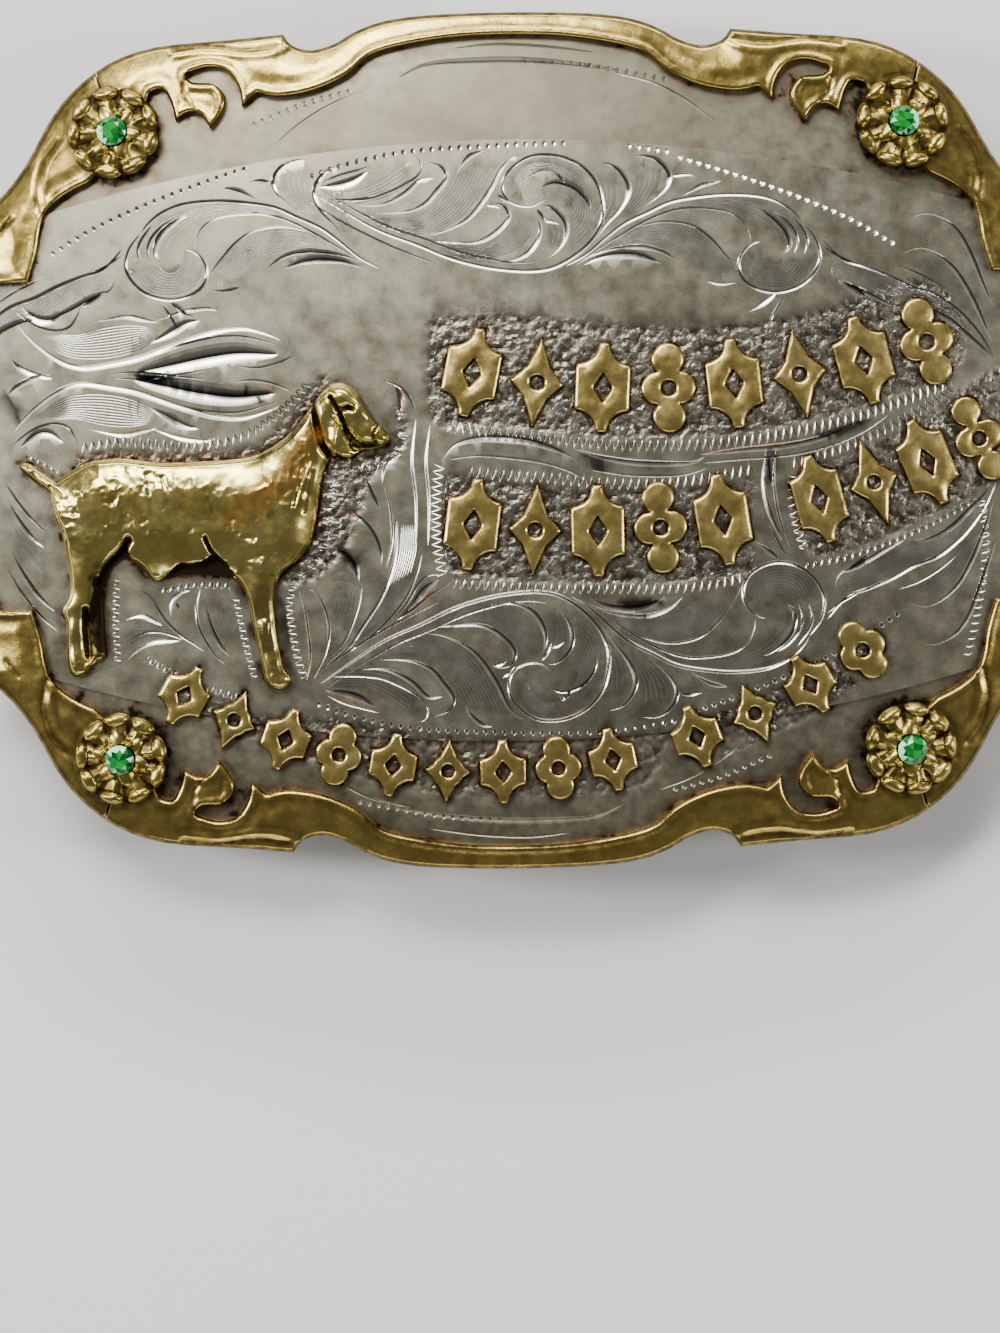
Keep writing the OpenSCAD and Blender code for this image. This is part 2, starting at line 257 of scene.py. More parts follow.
# Distance to the segments, worked out only near them; farther points get the reach
def nearDistance(points, segments, reach):
    low, high = segments.min((0, 1)) - reach, segments.max((0, 1)) + reach
    near = ((points > low) & (points < high)).all(1)
    found = np.full(len(points), float(reach))
    if near.any():
        found[near] = np.minimum(distanceTo(points[near], segments), reach)
    return found


# How far inside a loop each point lies, up to the reach; outside it the distance counts below zero
def depthInside(points, loop, reach):
    return nearDistance(points, segmentsOf([loop]), reach) * np.where(inside(points, [loop]), 1, -1)


# 1 on the segments and a bell beside them: e to minus a power of the distance over that share of the width
def bell(points, segments, width, share=0.5, power=2):
    return np.exp(-(nearDistance(points, segments, 3 * width) / (share * width)) ** power)


# Staggered grid inside the loops, no closer to them than "clear"
def gridInside(loops, spacing, clear):
    every = np.concatenate(loops)
    low, high = every.min(0), every.max(0)
    x = np.arange(low[0], high[0], spacing)
    y = np.arange(low[1], high[1], spacing * math.sqrt(3) / 2)
    grid = np.stack(np.meshgrid(x, y), -1)
    grid[1::2, :, 0] += spacing / 2
    grid = grid.reshape(-1, 2)
    grid = grid[inside(grid, loops)]
    return grid[distanceTo(grid, segmentsOf(loops)) > clear]


# Points that follow the loops inside them at each depth, for edges that are rounded over; those that come
# noticeably nearer to another side than their depth are left out
def rimPoints(loops, depths, least=0.93):
    segments = segmentsOf(loops)
    found = []
    for loop in loops:
        normal = leftOf(np.roll(loop, -1, 0) - np.roll(loop, 1, 0))
        for depth in depths:
            p = loop + normal * depth
            p = p[inside(p, loops)]
            if len(p):
                found.append(p[distanceTo(p, segments) > least * depth])
    return np.concatenate(found)


# Triangles between the points, with the edges kept; also says which given point each one is
def triangulated(points, edges, merge=1e-6):
    made = delaunay_2d_cdt([Vector(p) for p in points.tolist()], edges.tolist(), [], 0, merge, True)
    xy = np.array([v[:] for v in made[0]])
    tris = np.array(made[2])
    given = np.array([ids[0] if ids else -1 for ids in made[3]])
    a, b, c = (xy[tris[:, k]] for k in range(3))
    turned = (b[:, 0] - a[:, 0]) * (c[:, 1] - a[:, 1]) - (b[:, 1] - a[:, 1]) * (c[:, 0] - a[:, 0]) < 0
    tris[turned] = tris[turned][:, ::-1]
    return xy, tris, given


# Edges of closed loops whose points are numbered one loop after the other
def loopEdges(loops):
    starts = np.cumsum([0] + [len(l) for l in loops])
    return np.concatenate([np.stack([s + np.arange(len(l)), s + (np.arange(len(l)) + 1) % len(l)], 1)
                           for s, l in zip(starts, loops)])


# Surfaces

# Height of a dome: its middle, and the root of radius squared less distance from the axis squared
def domeAt(points, radius):
    return domeMiddle + np.sqrt(radius ** 2 - (points ** 2).sum(1))


# A dome's normals point away from its middle
def domeNormal(points, radius):
    return np.column_stack([points, domeAt(points, radius) - domeMiddle]) / radius


# Height of the underside of what lies on the plates: it steps up where the engraved plate is
def seatAt(points):
    on = inside(points, engravedLoops)
    return np.where(on, domeAt(points, engravedRadius + gap), domeAt(points, baseRadius + gap))


# Smooth random heights between -1 and 1: seeded numbers on a lattice, blended between its points
def waves(points, size, seed, cells=96, shift=40):
    lattice = np.random.default_rng(seed).uniform(-1, 1, (cells + 1, cells + 1))
    p = points / size + shift
    cell = np.floor(p).astype(int)
    t = p - cell
    t = t * t * (3 - 2 * t)
    i, j = cell[:, 0] % cells, cell[:, 1] % cells
    low = lattice[i, j] * (1 - t[:, 0]) + lattice[i + 1, j] * t[:, 0]
    high = lattice[i, j + 1] * (1 - t[:, 0]) + lattice[i + 1, j + 1] * t[:, 0]
    return low * (1 - t[:, 1]) + high * t[:, 1]


# Quarter circle that rises from 0 at the edge to 1 at the given distance
def rounded(distance, over):
    return np.sqrt(1 - (1 - np.clip(distance / over, 0, 1)) ** 2)


# Rises from 0 to 1 as x does, level at both ends: three x squared less two x cubed
def eased(x):
    x = np.clip(x, 0, 1)
    return x * x * (3 - 2 * x)


# The same mark at every point
def plain(value):
    return lambda xy: np.full(len(xy), float(value))


# Writes arrays into a mesh: vertices in millimetres, triangles, and a number at each vertex for each mark.
# Edges that bend by more than the crease angle stay sharp. Where smoothAt says so, it also gives the normals
def writeMesh(name, vertices, tris, marks, crease, smoothAt=None):
    mesh = bpy.data.meshes.new(name)
    mesh.vertices.add(len(vertices))
    mesh.vertices.foreach_set("co", (vertices * millimetre).astype(np.float32).ravel())
    mesh.loops.add(len(tris) * 3)
    mesh.loops.foreach_set("vertex_index", tris.astype(np.int32).ravel())
    mesh.polygons.add(len(tris))
    mesh.polygons.foreach_set("loop_start", np.arange(0, len(tris) * 3, 3, dtype=np.int32))
    mesh.update(calc_edges=True)
    mesh.polygons.foreach_set("use_smooth", np.ones(len(tris), bool))
    for mark, values in marks.items():
        layer = mesh.attributes.new(mark, "FLOAT", "POINT")
        layer.data.foreach_set("value", np.asarray(values, np.float32))
    mesh.set_sharp_from_angle(angle=math.radians(crease))
    if smoothAt is not None:
        normals = np.zeros(len(tris) * 9, np.float32)
        mesh.corner_normals.foreach_get("vector", normals)
        normals = normals.reshape(-1, 3)
        known = np.repeat(smoothAt[0], 3)
        normals[known] = smoothAt[1][tris.ravel()[known]]
        mesh.normals_split_custom_set(normals.tolist())
    return placed(name, mesh)


# A closed piece between two heights: the loops and inner points are joined by triangles on top, a coarser net
# closes the underside, and a wall joins the two along the border. "below" is what every mark says underneath.
# Where "calm" holds, the top is plain dome and takes the dome's own normals
def reliefPiece(name, loops, inner, innerEdges, top, under, marks, crease, calm=None, coarse=3.0, below=1.0):
    rim = np.concatenate(loops)
    xy, tris, _ = triangulated(np.concatenate([rim, inner]),
                               np.concatenate([loopEdges(loops), innerEdges + len(rim)]))
    tris = tris[inside(xy[tris].mean(1), loops)]
    used, tris = np.unique(tris, return_inverse=True)
    xy, tris = xy[used], tris.reshape(-1, 3)
    border = borderOf(tris, len(xy))
    rimIds = np.unique(border)
    place = np.full(len(xy), -1)
    place[rimIds] = np.arange(len(rimIds))
    lowPoints = np.concatenate([xy[rimIds], gridInside(loops, coarse, 0.3 * coarse)])
    lowXy, lowTris, given = triangulated(lowPoints, place[border])
    lowTris = lowTris[inside(lowXy[lowTris].mean(1), loops)]
    back = np.full(len(lowPoints), -1)
    back[given[given >= 0]] = np.flatnonzero(given >= 0)
    a, b = border[:, 0], border[:, 1]
    lowA, lowB = back[place[a]] + len(xy), back[place[b]] + len(xy)
    walls = np.concatenate([np.stack([a, lowA, b], 1), np.stack([b, lowA, lowB], 1)])
    every = np.concatenate([tris, walls, lowTris[:, ::-1] + len(xy)])
    vertices = np.concatenate([np.column_stack([xy, top(xy)]), np.column_stack([lowXy, under(lowXy)])])
    values = {m: np.concatenate([v(xy), np.full(len(lowXy), below)]) for m, v in marks.items()}
    smoothAt = None
    if calm is not None:
        still = calm(xy)
        flat = np.zeros(len(every), bool)
        flat[:len(tris)] = still[tris].all(1)
        flat[len(tris) + len(walls):] = True
        normals = np.concatenate([domeNormal(xy, engravedRadius), -domeNormal(lowXy, engravedRadius)])
        smoothAt = (flat, normals)
    return writeMesh(name, vertices, every, values, crease, smoothAt)


# Materials

# Links are made by name: each helper adds one node and returns the output that the next one takes
class Finish:
    def __init__(self, name):
        self.material = bpy.data.materials.new(name)
        self.material.use_nodes = True
        self.tree = self.material.node_tree
        self.shader = self.tree.nodes["Principled BSDF"]
        self.place = self.add("ShaderNodeTexCoord").outputs["Object"]

    def add(self, kind, **settings):
        node = self.tree.nodes.new(kind)
        for key, value in settings.items():
            setattr(node, key, value)
        return node

    def join(self, source, socket):  # sets a number or a colour on the socket, and links anything else to it
        if isinstance(source, (int, float)):
            socket.default_value = source
        elif isinstance(source, tuple):
            socket.default_value = (*source, 1.0)[:len(socket.default_value)]
        else:
            self.tree.links.new(source, socket)

    def noise(self, size, detail=3.0, rough=0.55, stretch=None):  # size in millimetres
        node = self.add("ShaderNodeTexNoise")
        node.inputs["Scale"].default_value = 1.0 / (size * millimetre)
        node.inputs["Detail"].default_value = detail
        node.inputs["Roughness"].default_value = rough
        place = self.place
        if stretch:
            mapping = self.add("ShaderNodeMapping")
            mapping.inputs["Scale"].default_value = stretch
            self.join(place, mapping.inputs["Vector"])
            place = mapping.outputs["Vector"]
        self.join(place, node.inputs["Vector"])
        return node.outputs["Fac"]

    def cells(self, size):  # distance from the nearest of scattered points, about that many millimetres apart
        node = self.add("ShaderNodeTexVoronoi")
        node.inputs["Scale"].default_value = 1.0 / (size * millimetre)
        self.join(self.place, node.inputs["Vector"])
        return node.outputs["Distance"]

    def mark(self, name):
        return self.add("ShaderNodeAttribute", attribute_name=name).outputs["Fac"]

    def fit(self, source, low, high, toLow=0.0, toHigh=1.0):  # straight from one range to another, and held
        node = self.add("ShaderNodeMapRange")
        for key, value in (("From Min", low), ("From Max", high), ("To Min", toLow), ("To Max", toHigh)):
            self.join(value, node.inputs[key])
        self.join(source, node.inputs["Value"])
        return node.outputs["Result"]

    def reckon(self, operation, a, b):
        node = self.add("ShaderNodeMath", operation=operation)
        self.join(a, node.inputs[0])
        self.join(b, node.inputs[1])
        return node.outputs["Value"]

    def blend(self, share, a, b):  # a where the share is 0 and b where it is 1
        node = self.add("ShaderNodeMix", data_type="RGBA")
        self.join(share, node.inputs[0])
        self.join(a, node.inputs[6])
        self.join(b, node.inputs[7])
        return node.outputs[2]

    def bump(self, height, strength, depth, below=None):  # depth in millimetres, over the bump below
        node = self.add("ShaderNodeBump")
        node.inputs["Distance"].default_value = depth * millimetre
        self.join(strength, node.inputs["Strength"])
        self.join(height, node.inputs["Height"])
        if below is not None:
            self.join(below, node.inputs["Normal"])
        return node.outputs["Normal"]

    def done(self, colour, roughness, normal=None, metal=1.0):
        self.join(colour, self.shader.inputs["Base Color"])
        self.join(roughness, self.shader.inputs["Roughness"])
        self.shader.inputs["Metallic"].default_value = metal
        if normal is not None:
            self.join(normal, self.shader.inputs["Normal"])
        return self.material


# Punched grounds: the grain's depth and size, the soft edge, and the punch's dimples
groundShape = {"grain": 0.14, "size": 0.46, "edge": 0.8, "dimple": 0.42}

silver = {
    "light": (0.45, 0.435, 0.325),
    "dull": (0.345, 0.332, 0.238),
    # The bright silver is a painted glint for cut walls, and the shade silver is painted shade over hatching
    "bright": (0.59, 0.58, 0.49),
    "shade": (0.130, 0.126, 0.092),
    "ground": (0.312, 0.286, 0.218),
    "pit": (0.060, 0.046, 0.034),
    "patina": (0.020, 0.016, 0.012),
    "brown": (0.145, 0.088, 0.052),
    "copper": (0.52, 0.31, 0.21),
    # Near-black for painted shadow beside the figure and for cuts painted darker
    "shadeAndStain": (0.012, 0.012, 0.014),
    "satinLight": (0.275, 0.256, 0.184),
    "satinDull": (0.205, 0.188, 0.130),
    "satinSpot": (0.16, 0.125, 0.095),
}


# Silver with light and dull clouds and brown freckles. Cut walls are painted lighter, a painted glint over
# their fresh polish, and cuts are dark with patina at the bottom; hatched areas take painted shade, copper
# gathers by raised work, and painted shade and brown grime lie beside it
def engravedSilver():
    f = Finish("engraved_silver")
    clouds = f.fit(f.noise(9.0, 4.0), 0.35, 0.68)
    colour = f.blend(clouds, silver["dull"], silver["light"])
    freckles = f.fit(f.noise(0.5, 2.0), 0.62, 0.75, 0.0, 0.22)
    colour = f.blend(freckles, colour, silver["brown"])
    speckle = f.fit(f.noise(0.20, 2.0, 0.6), 0.50, 0.66, 0.0, 0.30)
    colour = f.blend(speckle, colour, silver["brown"])
    ground, cut = f.mark("ground"), f.mark("cut")
    colour = f.blend(ground, colour, silver["ground"])
    dimple = f.cells(groundShape["dimple"])
    deep = f.reckon("ADD", f.fit(f.mark("pit"), 0.33, 0.90, 0.0, 0.85), f.fit(dimple, 0.34, 0.10, 0.0, 0.35))
    colour = f.blend(f.reckon("MULTIPLY", deep, ground), colour, silver["pit"])
    # Painted shade over the hatched areas
    colour = f.blend(f.fit(f.mark("shade"), 0.0, 1.0, 0.0, 0.42), colour, silver["shade"])
    # Painted glint: cut walls are painted lighter than the plate, on top of their lower roughness
    colour = f.blend(f.fit(cut, 0.08, 0.34), colour, silver["bright"])
    colour = f.blend(f.fit(cut, 0.60, 0.90, 0.0, 0.92), colour, silver["patina"])
    patches = f.fit(f.noise(1.3, 3.0), 0.38, 0.6, 0.0, 0.8)
    colour = f.blend(f.reckon("MULTIPLY", f.mark("copper"), patches), colour, silver["copper"])
    # Near-black spots: painted shadow beside the figure's front leg, chest and jaw, and cuts painted darker
    colour = f.blend(f.mark("shadeAndStain"), colour, silver["shadeAndStain"])
    roughness = f.fit(f.noise(2.2, 5.0), 0.3, 0.7, 0.26, 0.38)
    roughness = f.reckon("SUBTRACT", roughness, f.fit(cut, 0.2, 0.5, 0.0, 0.17))
    grit = f.bump(f.reckon("ADD", dimple, f.noise(0.20, 2.0)), f.reckon("MULTIPLY", ground, 0.6), 0.055)
    scratches = f.noise(0.16, 3.0, 0.6, (1.0, 0.12, 1.0))
    return f.done(shadedAndGrimed(f, colour), roughness, f.bump(scratches, 0.08, 0.02, grit))


# Painted shade and grime: brown beside raised work, nearly black right against it, uneven along it
def shadedAndGrimed(f, colour):
    grimeAndShade = f.reckon("MULTIPLY", f.mark("grimeAndShade"), f.fit(f.noise(0.9, 4.0), 0.30, 0.62, 0.55, 1.1))
    colour = f.blend(f.fit(grimeAndShade, 0.10, 0.75, 0.0, 0.85), colour, silver["brown"])
    return f.blend(f.fit(grimeAndShade, 0.62, 0.86), colour, silver["patina"])


# The base plate: satin front that shows in the banners, with tarnish, and a plain back
def satinSilver():
    f = Finish("satin_silver")
    colour = f.blend(f.fit(f.noise(7.0, 4.0), 0.35, 0.68), silver["satinDull"], silver["satinLight"])
    colour = f.blend(f.fit(f.noise(2.5, 5.0), 0.55, 0.72, 0.0, 0.3), colour, silver["satinSpot"])
    colour = f.blend(f.mark("ground"), colour, silver["ground"])
    colour = f.blend(f.fit(f.mark("pit"), 0.21, 0.94, 0.0, 0.8), colour, silver["pit"])
    cut = f.mark("cut")
    # Painted glint: cut walls take the engraved plate's dull silver, which is lighter than the satin
    colour = f.blend(f.fit(cut, 0.16, 0.44), colour, silver["dull"])
    colour = f.blend(f.fit(cut, 0.62, 0.98, 0.0, 0.8), colour, silver["patina"])
    roughness = f.fit(f.noise(1.2, 5.0), 0.3, 0.7, 0.34, 0.48)
    grain = f.bump(f.noise(0.22, 4.0, 0.65), 0.20, 0.03)
    return f.done(shadedAndGrimed(f, colour), roughness, f.bump(f.noise(3.0, 3.0), 0.14, 0.12, grain))


# Each gold: its light and its dull colour, how worn it is, and its range of roughness
golds = {
    "trim_gold": {"light": (0.62, 0.46, 0.125), "dull": (0.43, 0.31, 0.075),
                  "wear": 1.0, "rough": (0.17, 0.32)},
    "flower_gold": {"light": (0.55, 0.43, 0.12), "dull": (0.34, 0.255, 0.06),
                    "wear": 1.0, "rough": (0.20, 0.36)},
    "figure_gold": {"light": (0.80, 0.66, 0.22), "dull": (0.57, 0.45, 0.115),
                    "wear": 0.7, "rough": (0.13, 0.26)},
    "ornament_gold": {"light": (0.80, 0.62, 0.21), "dull": (0.58, 0.43, 0.12),
                      "wear": 0.8, "rough": (0.20, 0.34)},
}
# Fine stains, the near-black of painted shade and patina in low places, and copper tarnish
goldStainsAndShade = {"fine": (0.42, 0.27, 0.10), "low": (0.018, 0.011, 0.006), "copper": (0.80, 0.45, 0.11)}


# Gold alloy, bright where it stands high; where it lies low, painted shade and patina turn it brown to black
def goldFinish(name):
    f, gold = Finish(name), golds[name]
    wear = gold["wear"]
    colour = f.blend(f.fit(f.noise(3.5, 4.0), 0.34, 0.66), gold["dull"], gold["light"])
    colour = f.blend(f.fit(f.noise(0.55, 5.0, 0.7), 0.42, 0.70, 0.0, 0.30 * wear), colour, goldStainsAndShade["fine"])
    # The low mark is painted shade and patina: it turns the gold brown to black
    mark = f.mark("low")
    low = f.reckon("MULTIPLY", mark, f.fit(f.noise(0.9, 4.0), 0.25, 0.60, 0.55, 1.15))
    low = f.reckon("MAXIMUM", low, f.fit(mark, 0.80, 0.97))
    colour = f.blend(f.fit(low, 0.0, 1.0), colour, goldStainsAndShade["low"])
    patches = f.fit(f.noise(0.7, 5.0, 0.7), 0.30, 0.55)
    colour = f.blend(f.reckon("MULTIPLY", f.mark("copper"), patches), colour, goldStainsAndShade["copper"])
    roughness = f.fit(f.noise(1.5, 5.0, 0.65), 0.3, 0.7, *gold["rough"])
    roughness = f.reckon("ADD", roughness, f.fit(mark, 0.5, 1.0, 0.0, 0.3))
    cast = f.bump(f.noise(0.8, 4.0), 0.20 * wear, 0.10)
    return f.done(colour, roughness, f.bump(f.noise(0.16, 3.0, 0.65), 0.14 * wear, 0.025, cast))


crystal = {"deep": (0.0, 0.018, 0.003), "green": (0.004, 0.24, 0.030), "flash": (0.50, 1.0, 0.60),
           "bend": 1.65}  # how strongly it bends light


# Green crystal with painted light: each facet is painted its own share of light, from deep green to a
# painted flash, as a foiled stone shows through its crown
def greenStone():
    f = Finish("green_stone")
    glint = f.mark("glint")
    colour = f.blend(f.fit(glint, 0.0, 0.60), crystal["deep"], crystal["green"])
    colour = f.blend(f.fit(glint, 0.78, 0.97), colour, crystal["flash"])
    f.shader.inputs["IOR"].default_value = crystal["bend"]
    return f.done(colour, 0.05, None, 0.0)


nickel = {"dull": (0.36, 0.34, 0.30), "light": (0.56, 0.54, 0.50), "spot": (0.17, 0.13, 0.10)}


# Plain nickel of the loop and the hook, rubbed by the belt, with duller spots
def backMetal():
    f = Finish("back_hardware")
    colour = f.blend(f.fit(f.noise(2.6, 4.0), 0.36, 0.66), nickel["dull"], nickel["light"])
    colour = f.blend(f.fit(f.noise(0.9, 5.0), 0.56, 0.70, 0.0, 0.5), colour, nickel["spot"])
    roughness = f.fit(f.noise(0.7, 4.0), 0.3, 0.7, 0.24, 0.48)
    along = f.bump(f.noise(0.14, 3.0, 0.6, (1.0, 0.08, 1.0)), 0.2, 0.02)
    return f.done(colour, roughness, f.bump(f.noise(1.6, 4.0), 0.25, 0.08, along))


finishes = {"engraved_silver": engravedSilver(), "satin_silver": satinSilver(), "green_stone": greenStone(),
            "back_hardware": backMetal(), **{name: goldFinish(name) for name in golds}}


# Gives a piece its finish, its slot and the body that it rides on, and lets it stand for a node of the model
def dress(piece, slot, node):
    piece.data.materials.append(finishes[slot])
    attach(piece, "root")
    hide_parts(node)


print("finishes are mixed")


# Engraving

# Each kind of cut: its widest width, its depth, where along it it is widest, how full its ends are,
# and how far the deepest line leans to the left of the way it is drawn
cutKinds = {
    "stem": {"width": 0.46, "depth": 0.12, "swell": 0.5, "full": 0.35, "lean": 0.1},
    "lobe": {"width": 0.58, "depth": 0.13, "swell": 0.62, "full": 0.8, "lean": 0.5},
    "edge": {"width": 0.34, "depth": 0.09, "swell": 0.5, "full": 0.5, "lean": -0.3},
    "flick": {"width": 0.40, "depth": 0.12, "swell": 0.35, "full": 1.0, "lean": 0.4},
    "lens": {"width": 1.10, "depth": 0.15, "swell": 0.55, "full": 0.9, "lean": 0.2},
    "wide": {"width": 0.72, "depth": 0.12, "swell": 0.5, "full": 0.6, "lean": 0.55},
    "scoop": {"width": 2.30, "depth": 0.24, "swell": 0.5, "full": 0.5, "lean": -0.1},
    "hatch": {"width": 0.19, "depth": 0.010, "swell": 0.5, "full": 0.25, "lean": 0.0},
    "gleam": {"width": 0.16, "depth": 0.042, "swell": 0.5, "full": 0.4, "lean": 0.0},
    "tick": {"width": 0.22, "depth": 0.08, "swell": 0.5, "full": 0.5, "lean": 0.2},
    "bead": {"width": 0.54, "depth": 0.10, "swell": 0.5, "full": 0.25, "lean": 0.3},
}
# A cut shows its full tone from this depth on, or from its own if that is less, and hatch at most "fine"
cutTone = {"depth": 0.08, "fine": 0.55}

# Main scroll, from the root by the front hoof; points are millimetres on the sheet
mainScroll = [
    ("stem", [(32, 68.4), (34.9, 66.4), (38.4, 64.1), (42.2, 62.4), (45.5, 60.8), (49.1, 59.7), (52.6, 59.2),
              (55, 59.3), (56.8, 60), (58.7, 61.4), (60.1, 63.1), (60.85, 65), (60.85, 66.9), (60.4, 68.7),
              (59.4, 70.2), (58, 71.3), (56.1, 72), (54, 72), (52.6, 71.3), (51.4, 70.2), (50.9, 69),
              (51, 67.8), (51.6, 66.9), (52.8, 66.4), (54, 66.4), (55.2, 67.1)]),
    ("edge", [(32.6, 68.9), (36, 66.5), (39.4, 64.5), (43, 63), (46.4, 61.5), (49.8, 60.5), (52.6, 60.1),
              (54.8, 60.3)]),
    ("edge", [(31.4, 67.7), (34.4, 65.4), (37.8, 63.3), (41, 61.6), (44, 60.2)]),
    ("wide", [(59.7, 65.7), (59.4, 66.9), (58.3, 68.3), (56.8, 69), (55.7, 69), (54.7, 68.4)]),
    ("flick", [(57.2, 68.9), (56.4, 69.9), (55.8, 69.5)]),
    ("lobe", [(49, 60.5), (51.6, 60.4), (53.3, 61.2), (54.3, 62.6), (54.6, 64), (54.3, 65.3)]),
    ("lobe", [(55.2, 60.5), (56.3, 61.4), (57.1, 62.8), (57.2, 64.3), (56.6, 65.4), (55.6, 66.3),
              (54.7, 66.4)]),
    ("lobe", [(42.9, 62.8), (45.5, 62.6), (47.9, 62.5), (49.5, 63.1), (50.9, 64.3), (51.5, 65.4), (51, 66.5),
              (49.6, 66.9)]),
    ("lobe", [(42.7, 63.4), (44.3, 63.6), (46, 64.3), (47.4, 65.2), (48.6, 66.6), (49.8, 68.5), (50.7, 70.4),
              (51.7, 71.6), (52.4, 72)]),
    ("lobe", [(38, 66), (39.6, 66), (41.5, 66.2), (43.2, 67), (44.3, 68.3), (45.3, 69.7), (45, 70.9),
              (43.4, 71.7)]),
    ("lobe", [(36.1, 67), (38, 66.9), (39.6, 67.3), (41.3, 68.3), (42.5, 69.5), (43.2, 69.8), (44.3, 69.7)]),
    ("edge", [(33.2, 67.7), (35.8, 67.6), (38, 67.8), (39.6, 68.4), (41, 69.1), (42.2, 69.9), (42.8, 70.8),
              (42.6, 71.9), (42, 72.2)]),
    ("lens", [(32.3, 69.1), (34.2, 69.2), (36, 69.7), (37.6, 70.8)]),
    ("edge", [(32.6, 69.5), (34.4, 70.3), (36.2, 70.8), (37.9, 71.3)]),
    ("lobe", [(46.4, 70.3), (47.1, 71.5), (48.1, 72.4), (49.2, 72.7)]),
    ("flick", [(49.2, 66.6), (50.1, 66.5), (50.7, 66.1)]),
    ("flick", [(50.3, 67.8), (51, 67.2), (51.5, 66.6)]),
    ("flick", [(54.2, 66.1), (54.9, 65), (55.2, 64.2)]),
    ("flick", [(54.9, 64.7), (55.8, 64.6), (56.5, 64.2)]),
]
# Bundles of fine lines: how many, and the guides that they lie between
mainBundles = [
    (9, [(42.2, 62.6), (45.4, 61), (48.6, 60.7), (51.6, 61.3), (53.5, 63), (54, 64.9)],
        [(44.4, 62.9), (47.2, 62.1), (49.4, 62.4), (51, 63.5), (51.8, 64.9), (52, 66)]),
    (10, [(38.8, 64.3), (41.8, 63.6), (44.4, 64), (46.5, 65.2), (48.1, 67.1), (49.5, 69.5), (50.4, 71.1)],
         [(35.4, 66.6), (38.4, 65.5), (41, 65.2), (43.2, 66), (44.9, 67.6), (46, 69.3), (46.6, 70.8)]),
    (6, [(33.7, 67.3), (36.1, 67.2), (38.4, 67.5), (40.3, 68.3), (41.7, 69.2)],
        [(33.5, 68.6), (35.6, 68.4), (37.7, 69), (39.6, 70.1), (41.2, 71.3)]),
    (9, [(57.6, 61.4), (59.5, 63.4), (59.9, 65.9), (59.3, 68.2), (57.4, 70.4), (54.6, 71.3), (52.7, 70.4),
         (51.9, 68.9)],
        [(57.7, 65.6), (58, 66.9), (57.4, 68.6), (56.4, 69.8), (55, 70.3), (53.8, 69.8), (52.9, 68.8),
         (52.8, 67.6)]),
    (3, [(56, 61.4), (56.7, 62.8), (56.7, 64.2), (56, 65.2)],
        [(55.4, 61.6), (55.8, 62.8), (55.7, 63.8), (55.3, 64.3)]),
]

# The stem that leaves it to the right, and the second scroll at its end
secondScroll = [
    ("stem", [(57, 59.6), (59, 60.8), (61, 62.6), (63, 64.2), (65.4, 65.4), (67.4, 66.4), (69.7, 66.9),
              (73.2, 67.2), (76.6, 66.9), (78.8, 66), (80.2, 64.8), (81, 63.6)]),
    ("edge", [(58.6, 60.2), (61.2, 62), (64, 63.8), (66.3, 65), (68.6, 65.7), (70.9, 65.7), (73.2, 65.3),
              (74.7, 64.4), (75.4, 63), (75.6, 61.9)]),
    ("edge", [(64, 63.7), (66.2, 64.25), (68, 64.25), (70, 63.7), (71.6, 62.4), (72.7, 61), (73.6, 59.7),
              (74.2, 58.5)]),
    ("lobe", [(58, 59.7), (59.6, 60.7), (61.8, 61.4), (64, 61.6), (65.6, 61.4), (67, 60.8), (68.3, 59.7)]),
    ("lens", [(58.6, 59.6), (60.6, 60.5), (62.8, 60.8), (64.8, 60.5), (66.7, 59.6)]),
    ("lobe", [(60, 62.4), (61.3, 64.2), (62.5, 65.6), (63.3, 67), (63.6, 68.2), (63.2, 69.4), (62.2, 70.6),
              (60.8, 71.1)]),
    ("lobe", [(65, 66), (66.3, 67), (67.3, 68.1), (67.7, 69.3), (67.3, 70.4), (66.4, 71.3), (65.3, 71.7),
              (64.2, 71.7)]),
    ("lobe", [(69, 67.1), (70, 67.8), (71.2, 68.4), (72.8, 68.7)]),
    ("flick", [(67.9, 69.3), (69.1, 69.5), (70.2, 69.3)]),
    ("stem", [(81, 63.6), (82, 62.2), (82.45, 60.8), (82.4, 59.4), (81.5, 57.8), (80.1, 56.7), (78.2, 56.2),
              (76.4, 56.5), (75, 57.4), (74.4, 58.6), (74.4, 59.9), (75, 61), (75.9, 61.7), (76.6, 61.8)]),
    ("wide", [(78.7, 60.4), (79.4, 61), (79.5, 62), (79.1, 63.2), (78.2, 64.3), (77.1, 65.2), (76.4, 65.6)]),
    ("edge", [(79.9, 60.4), (80.3, 61.6), (80, 63), (79, 64.3), (77.8, 65.2)]),
    ("edge", [(80.9, 60.3), (81.3, 61.6), (80.9, 63), (79.8, 64.6)]),
    ("lobe", [(75.2, 54), (76.5, 54.8), (78, 56)]),
    ("edge", [(77, 52.5), (77.8, 54), (78.5, 55.2), (79, 55.6)]),
    ("flick", [(71, 57.6), (72.6, 57.2), (74, 57.3)]),
]
